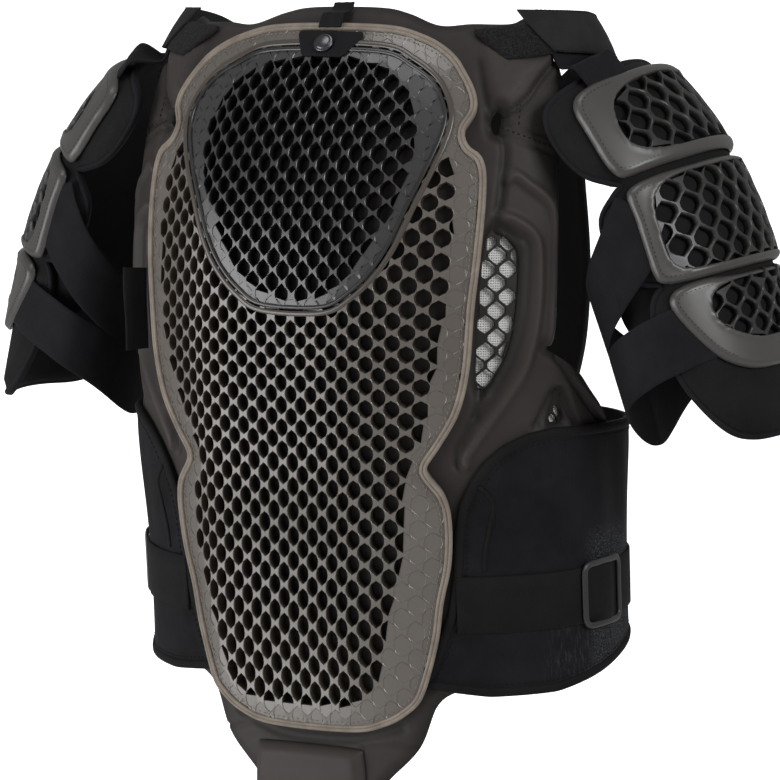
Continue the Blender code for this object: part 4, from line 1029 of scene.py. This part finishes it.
def addShoulders():
    loop = denseLoop(metres(hookPatchLine), 0.003)
    sheet = gridSheet(loop, hookPatch["step"])
    bump = random.Random(hookPatch["seed"])
    table = {}

    def pile(points):
        rough = np.array([table.setdefault((round(x * 1e5), round(y * 1e5)), bump.random())
                          for x, y in points])
        rim = ease(nearest(points, [loop])[0] / 0.0015)
        return layerStart + hookPatch["face"] + hookPatch["rise"] * rim + hookPatch["rough"] * rough

    thicken(sheet, pile, layerStart + hookPatch["base"])
    addPair("hookPatch", sheet, "hook", torso, "hook_patch")

    line = smoothLine(metres(shoulderLine), 0.0035)
    strap = sweep(line, strapSection(shoulder["halfWidth"], layerStart + shoulder["lift"], shoulder["thick"]),
                  closed=False)
    flat = flatPlaces(strap)
    start, level = line[0, 0], flat[:, 1] - line[0, 1]
    nearEnd = ease(1 - (flat[:, 0] - start) / shoulder["endLength"])
    flat[:, 0] += nearEnd * (shoulder["slant"] * level + shoulder["roundness"] * level ** 2)
    setPlaces(strap, flat)
    addPair("shoulderStrap", strap, "strapCloth", torso, "shoulder_strap")
    for number, side in enumerate((-1, 1)):
        edge = line[2:] + sideways(line, False)[2:] * side * shoulder["seamOffset"]
        stitches(f"shoulderSeam{number}", edge, torso, layerStart + shoulder["seamLift"], "webbing", False,
                 pair=True)


# Elastic bands from the shoulders to the arm guards
hanger = {"start": 0.163, "width": 0.062, "turn": 0.0605, "turnWidth": 0.0325, "thick": 0.0014, "rails": 9}
hangerTop = [(0, 38, 1.4), (2, 46, 1.6), (6, 55, 2.2)]            # around, along, lift over the foam
hangerEnd = [(-21, 4.0), (-12, 2.2), (-4, 0.4)]                   # along the arm, lift over the pad


def addHangers():
    rails = []
    for share in np.linspace(0, 1, hanger["rails"]):
        around = hanger["start"] + hanger["width"] * share
        turn = hanger["turn"] - hanger["turnWidth"] * share
        points = np.concatenate([
            torso.lay(metres(hangerTop) + (around, 0, foamFace)),
            arm.lay([(turn, along * 0.001, layerStart + lift * 0.001) for along, lift in hangerEnd])])
        rails.append(smoothLine(points, 0.004))
    count = min(len(rail) for rail in rails)
    rails = [rail[np.linspace(0, len(rail) - 1, count).round().astype(int)] for rail in rails]
    for piece in addPair("armHanger", joinRows(rails), "elastic", None, "arm_hanger", 1):
        addWall(piece, hanger["thick"])


# Arm guards: a padded sleeve, three moulded shells and two elastic bands. Outlines are in millimetres.
armPadHalf = [  # round from the outermost line and down the arm
    (30, -13), (62, -15), (88, -15), (101, -5), (106, 14), (102, 32), (90, 44), (83, 49), (92, 53), (107, 61),
    (114, 75), (112, 95), (101, 108), (85, 114), (92, 119), (98, 130), (98, 148), (93, 172), (82, 195),
    (66, 214), (48, 222), (20, 224)]
armPad = {"edge": 5.2, "rise": 3.6, "edgeWidth": 9.0, "groove": 0.9, "grooveInset": 6.5, "grooveWidth": 1.6}
armPiping = {"halfWidth": 0.0022, "lift": 0.0040, "rise": 0.0024, "under": 0.0026}   # metres from here on
lining = {"top": -0.0005, "bottom": -0.0014, "step": 0.004}
liningLine = [(78, 98), (120, 100), (141, 106), (143, 128), (132, 142), (112, 146), (78, 140)]
shell = {"thick": 0.0052, "edge": 0.0030, "lip": 0.0008, "lipAway": 0.0012, "lipWidth": 0.0013,
         "seam": 0.0048, "step": 0.0019, "tone": 0.89}
armBand = {"halfWidth": 0.0198, "thick": 0.0015}
shellTable = [  # name, node, outline, window, shift of the cells; from the top round to the bottom
    ("shoulderCap", "shoulder_cap",
     [(30, -4), (60, -7), (74, -6), (81, 1), (84, 14), (86, 30), (85, 41), (80, 47), (62, 49), (30, 51)],
     [(20, 3), (44, 4), (58, 9), (65, 20), (66, 30), (60, 37), (45, 42), (20, 44)], 0.0),
    ("upperShell", "upper_shell",
     [(30, 55), (62, 53), (78, 53), (85, 57), (87, 72), (89, 92), (89, 107), (85, 113), (70, 116), (30, 117)],
     [(20, 59), (50, 58), (66, 61), (73, 69), (76, 85), (76, 100), (70, 107), (54, 110), (20, 111)], 0.5),
    ("lowerShell", "lower_shell",
     [(30, 120), (58, 117), (76, 118), (84, 123), (84, 132), (77, 147), (67, 162), (56, 172), (40, 179),
      (20, 181)],
     [(15, 123), (42, 123), (55, 126), (60, 134), (57, 145), (46, 154), (30, 160), (12, 161)], 0.0)]
shellCell = {"pitch": 0.0170, "rise": 0.0100, "tall": 0.78, "hole": (0.0076, 0.0072), "emboss": 0.0,
             "curve": ((0.58, 0.66), (0.95, 0.30)), "least": 0.14, "cup": 0.0007, "deep": 0.0026}
armBands = [  # name, node, route from the right edge to the inner side, lowest point
    ("upperArmStrap", "upper_arm_strap", [(78, 68), (105, 90), (148, 121), (190, 148)], 163),
    ("lowerArmStrap", "lower_arm_strap", [(62, 146), (107, 153), (153, 168), (200, 192)], 197)]
bandLifts = [(60, 9.8), (112, 10.2), (130, 12.5), (150, 12.5), (185, 7.0), (220, 3.0)]   # at each place round


def addArmPads():
    loop = halfLoop(armPadHalf, 0.004)

    def top(points):
        depth = nearest(points, [loop])[0] * 1000
        lift = armPad["edge"] + armPad["rise"] * ease(depth / armPad["edgeWidth"])
        groove = np.exp(-((depth - armPad["grooveInset"]) / armPad["grooveWidth"]) ** 2)
        return (lift - armPad["groove"] * groove) * 0.001

    sheet = gridSheet(loop, 0.0030)
    thicken(sheet, top, crowned([loop], 0.0012, 0.0, 0.005))
    for piece in addPair("armPad", sheet, "armFoam", arm, "arm_pad"):
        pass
    addPair("armPadEdge", sweep(loop, roundSection(**armPiping)), "elastic", arm)
    sheet = gridSheet(denseLoop(metres(liningLine), lining["step"]), lining["step"])   # behind the notch
    thicken(sheet, lining["top"], lining["bottom"])
    addPair("armLining", sheet, "armFoam", arm)


def addShells():
    thick = shell["thick"]
    for name, node, outlineHalf, windowHalf, shift in shellTable:
        outline, window = halfLoop(outlineHalf, 0.0025), halfLoop(windowHalf, 0.0025)

        def top(points, outline=outline, window=window):
            out, away = nearest(points, [outline])[0], nearest(points, [window])[0]
            lip = shell["lip"] * np.exp(-((away - shell["lipAway"]) / shell["lipWidth"]) ** 2)
            return layerStart + thick * (0.25 + 0.75 * ease(out / shell["edge"] + 0.1)) + lip

        sheet = gridSheet(outline, shell["step"], [window])
        thicken(sheet, top, layerStart)
        addPair(name, sheet, "shell", arm, node, 1, shell["tone"])

        middle = (window[:, 1].min() + window[:, 1].max()) / 2
        shape = {**shellCell, "start": (shellCell["pitch"] * shift, middle)}
        sheet = honeycomb(grow(window, 0.0003), [grow(window, -0.0006)], shape)
        heights = thickenComb(sheet, 1.0, thick - 0.0004, layerStart)
        addPair(name + "Web", sheet, "shell", arm, None, 0, heights, 30)
        rim = grow(outline, -shell["seam"])
        for side, word in ((1, "Back"), (-1, "Front")):
            run = np.array([p for p in rim if p[0] * side > 0.050])
            run = run[np.argsort(np.arctan2(run[:, 1] - middle, run[:, 0] * side - 0.045))]
            stitches(f"{name}Seam{word}", run, arm, layerStart + thick, "webbing", False, length=0.0016,
                     gap=0.0012, width=0.0005, pair=True)


def addArmBands():
    half = arm.girth * 500
    for name, node, route, lowest in armBands:
        line = route + [(half, lowest)] + [(2 * half - around, along) for around, along in reversed(route)]
        band = sweep(smoothLine(metres(line), 0.003),
                     strapSection(armBand["halfWidth"], 0.0, armBand["thick"]), closed=False)
        flat = flatPlaces(band)
        fromEdge = half - np.abs(flat[:, 0] * 1000 - half)
        flat[:, 2] += np.interp(fromEdge, *np.array(bandLifts).T) * 0.001
        setPlaces(band, flat)
        addPair(name, band, "elastic", arm, node, 1)


# Chest side
chest = {"foamHalfWidth": 0.122, "foamHeight": 0.228, "foamTop": 0.070, "plateHalfWidth": 0.108,
         "plateHeight": 0.194, "plateTop": 0.084, "plateThick": 0.0045, "border": 0.020, "deep": 0.0025,
         "edge": 0.0055, "face": 0.009, "edgeWidth": 0.008, "step": 0.0032}
chestTape = {"halfWidth": 0.0024, "lift": layerStart + 0.0022, "rise": 0.0020, "under": 0.0020}
chestHalf = [(0.45, 0.04), (0.62, 0.0), (0.86, 0.02), (0.96, 0.10), (0.98, 0.30), (1.0, 0.55), (0.94, 0.80),
             (0.78, 0.96), (0.40, 1.0)]


def addChest():
    loop = smoothLine(mirrorHalf(chestHalf, chest["foamHalfWidth"], chest["foamHeight"], chest["foamTop"],
                                 frontCentre), 0.004, True)
    outline = smoothLine(mirrorHalf(chestHalf, chest["plateHalfWidth"], chest["plateHeight"],
                                    chest["plateTop"], frontCentre), 0.006, True)
    sheet = gridSheet(loop, chest["step"])
    thicken(sheet, crowned([loop], chest["edge"], chest["face"], chest["edgeWidth"]), 0.0)
    piece = addPiece("chestFoam", sheet, "foam", torso, ["chest_foam"])
    shape = {**cellShape, "start": (frontCentre, chest["plateTop"]), "deep": chest["deep"]}
    sheet = honeycomb(outline, [grow(outline, -chest["border"])], shape)
    addPlate("chestPlate", "chest_plate", "smoke", sheet, outline, 0.75, 0.008, chest["plateThick"])
    tape = sweep(smoothLine(outline, 0.004, True), roundSection(**chestTape))
    addPiece("chestBinding", tape, "tape", torso)


# Kidney belt, waist strap and slider
beltLine = [  # millimetres, from the inner lower corner up and round
    (74, 458), (84, 437), (95, 408), (99.5, 380), (101, 355), (104, 336), (112, 318), (121, 305),
    (133, 294.5), (147, 288), (165, 285), (200, 286.5), (240, 288.5), (275, 290.5)]
beltFront = [  # shares of the way round to the middle of the front, and metres down
    (0.75, 0.2925), (1, 0.2895), (1, 0.4400), (0.80, 0.4408), (0.60, 0.4430), (0.45, 0.4560), (0.36, 0.4635),
    (0.26, 0.4640)]
beltFold = [(116, 320), (124, 332), (120, 352), (113, 400), (104, 430)]
beltPanel = [(116, 320), (122, 326), (125, 334), (123, 344), (121, 354), (119, 364), (118, 378)]
belt = {"under": 0.0002, "over": 0.0032, "wave": 0.0007, "fold": 0.0012, "foldWidth": 6, "step": 0.0042}
beltEdging = {"halfWidth": 0.0034, "lift": layerStart + 0.0022, "rise": 0.0024, "under": 0.0022}
beltPiping = {"halfWidth": 0.0013, "lift": layerStart + 0.0042, "rise": 0.0010, "under": 0.0012}
frontEnd = frontCentre - 0.0006   # belt halves and webbing meet here


def addBelt():
    loop = denseLoop([*metres(beltLine), *[(share * frontEnd, along) for share, along in beltFront]], 0.004)
    fold = smoothLine(beltFold, 4)

    def crease(points):
        x, y = points[:, 0] * 1000, points[:, 1] * 1000
        wave = np.sin(x * 0.16 + 0.6 * np.sin(y * 0.05)) * np.sin(y * 0.021 + 1.0)
        wave *= ease(nearest(points, [loop])[0] / 0.02)
        near = ease(1 - nearest(points * 1000, [fold], closed=False)[0] / belt["foldWidth"])
        return layerStart + belt["wave"] * wave + belt["fold"] * near

    sheet = gridSheet(loop, belt["step"])
    thicken(sheet, lambda p: crease(p) + belt["over"], lambda p: crease(p) + belt["under"])
    for piece in addPair("kidneyBelt", sheet, "belt", torso, "kidney_belt", 1):
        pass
    edge = sweep(smoothLine(grow(loop, -0.0022), 0.004, True), roundSection(**beltEdging))
    addPair("beltEdge", edge, "webbing", torso)
    stitches("beltSeam", grow(loop, -0.0072), torso, layerStart + 0.0036, "webbing", True, pair=True)
    piping = sweep(smoothLine(metres(beltPanel), 0.003), roundSection(**beltPiping), closed=False)
    addPair("beltPanelSeam", piping, "webbing", torso)


strap = {"halfWidth": 0.0195, "level": 0.401, "start": 0.100, "thick": 0.0018, "lift": 0.0131,
         "climb": 0.0036}
slider = {"centre": 0.208, "halfLong": 0.0238, "halfWide": 0.0238, "bar": 0.0048, "corner": 0.0055,
          "lift": 0.0022, "side": 0.0018, "crown": 0.0028}
middleBar = {"low": -0.0012, "side": 0.0002, "crown": 0.0006}


def addWaistStrap():
    # over the slider's middle bar and under its sides
    bar = slider["bar"] / 2
    climb = slider["halfWide"] - slider["bar"]
    line = smoothLine([(strap["start"], strap["level"]), (frontEnd, strap["level"])], 0.0022)
    band = sweep(line, strapSection(strap["halfWidth"], 0.0, strap["thick"]), closed=False)
    flat = flatPlaces(band)
    reach = np.abs(flat[:, 0] - slider["centre"])
    flat[:, 2] += strap["lift"] + strap["climb"] * ease((climb - reach) / (climb - bar))
    setPlaces(band, flat)
    addPair("waistStrap", band, "webbing", torso, "waist_strap")

    centre = np.array([slider["centre"], strap["level"]])
    half = np.array([slider["halfWide"] - bar, slider["halfLong"] - bar])
    path = denseLoop(boxLine(centre - half, centre + half, slider["corner"]), 0.0022)
    lift = strap["lift"] + slider["lift"]
    ring = sweep(path, barSection(bar, lift, lift + slider["side"], lift + slider["crown"], 0.6))
    line = smoothLine([centre - half * (0, 1), centre + half * (0, 1)], 0.002)
    low, side, crown = [lift + middleBar[key] for key in ("low", "side", "crown")]
    section = barSection(bar, low, side, crown, 0.5)
    middle = meshFrom("sliderBar", sweep(line, section, closed=False))
    ring.from_mesh(middle)
    bpy.data.meshes.remove(middle)
    addPair("sliderBuckle", ring, "slider", torso, "slider_buckle", 1)


for make in (addPlates, addBinding, addBackFoam, addWindows, addLumbarPad, addSnap, addTag, addLabel,
             addShoulders, addHangers, addArmPads, addShells, addArmBands, addChest, addBelt, addWaistStrap):
    make()
    print("made", make.__name__)


# Floor, backdrop, light and camera
studio = {"floor": -1.40, "distance": 2.400, "azimuth": 25, "elevation": 7, "lens": 162.9, "sensor": 36,
          "aim": (0.00884, 0.272476), "middle": (0, -0.08, -0.27), "world": 0.28, "floorWidth": 16,
          "wallAway": 3.4, "wallWidth": 2.2, "wallHeight": 1.6, "paper": 0.8, "glow": 1.0}
lamps = [  # name, azimuth, elevation, distance, size, watts
    ("key", -40, -8, 2.6, 2.0, 56), ("fill", 72, 24, 2.6, 1.2, 34), ("top", -20, 72, 2.2, 1.0, 10)]


def fromAround(azimuth, elevation, distance=1.0):
    turn, rise = math.radians(azimuth), math.radians(elevation)
    toward = Vector((math.sin(turn) * math.cos(rise), -math.cos(turn) * math.cos(rise), math.sin(rise)))
    return toward * distance


def addStage(name, matrix, glow):
    # square sheet of pale paper
    bm = bmesh.new()
    bmesh.ops.create_grid(bm, x_segments=1, y_segments=1, size=0.5, matrix=matrix)
    mesh = meshFrom(name, bm)
    paper = bpy.data.materials.new(name + "Paper")
    paper.use_nodes = True
    shader = paper.node_tree.nodes["Principled BSDF"]
    tone = studio["paper"]
    for socket, value in (("Base Color", (tone, tone, tone, 1)), ("Roughness", 0.9),
                          ("Emission Color", (1, 1, 1, 1)), ("Emission Strength", glow)):
        shader.inputs[socket].default_value = value
    mesh.materials.append(paper)
    addToScene(name, mesh)


def addStudio():
    back = fromAround(studio["azimuth"], studio["elevation"])
    right = fromAround(studio["azimuth"] + 90, 0)
    up = back.cross(right)
    level = Matrix.Translation((0, 0, studio["floor"]))
    addStage("floor", level @ Matrix.Scale(studio["floorWidth"], 4), 0.0)
    wall = fromAround(studio["azimuth"] + 180, 0, studio["wallAway"])
    wall.z = studio["floor"] + studio["wallHeight"] / 2
    upright = Matrix((right, Vector((0, 0, 1)), right.cross(Vector((0, 0, 1))))).transposed().to_4x4()
    size = Matrix.Diagonal((studio["wallWidth"], studio["wallHeight"], 1, 1))
    addStage("backdrop", Matrix.Translation(wall) @ upright @ size, studio["glow"])

    world = bpy.data.worlds.new("studio")
    bpy.context.scene.world = world
    world.use_nodes = True
    world.node_tree.nodes["Background"].inputs["Color"].default_value = (1, 1, 1, 1)
    world.node_tree.nodes["Background"].inputs["Strength"].default_value = studio["world"]
    for name, azimuth, elevation, distance, size, power in lamps:
        light = bpy.data.lights.new(name, "AREA")
        light.size, light.energy = size, power
        toward = fromAround(azimuth, elevation, distance)
        lamp = addToScene(name, light)
        lamp.location = Vector(studio["middle"]) + toward
        lamp.rotation_euler = toward.to_track_quat("Z", "Y").to_euler()

    camera = addToScene("camera", bpy.data.cameras.new("camera"))
    camera.data.lens, camera.data.sensor_width = studio["lens"], studio["sensor"]
    camera.location = right * studio["aim"][0] - up * studio["aim"][1] + back * studio["distance"]
    camera.rotation_euler = Matrix((right, up, back)).transposed().to_euler()
    bpy.context.scene.camera = camera
    bpy.context.scene.view_settings.view_transform = "Standard"


addStudio()
print("studio ready")
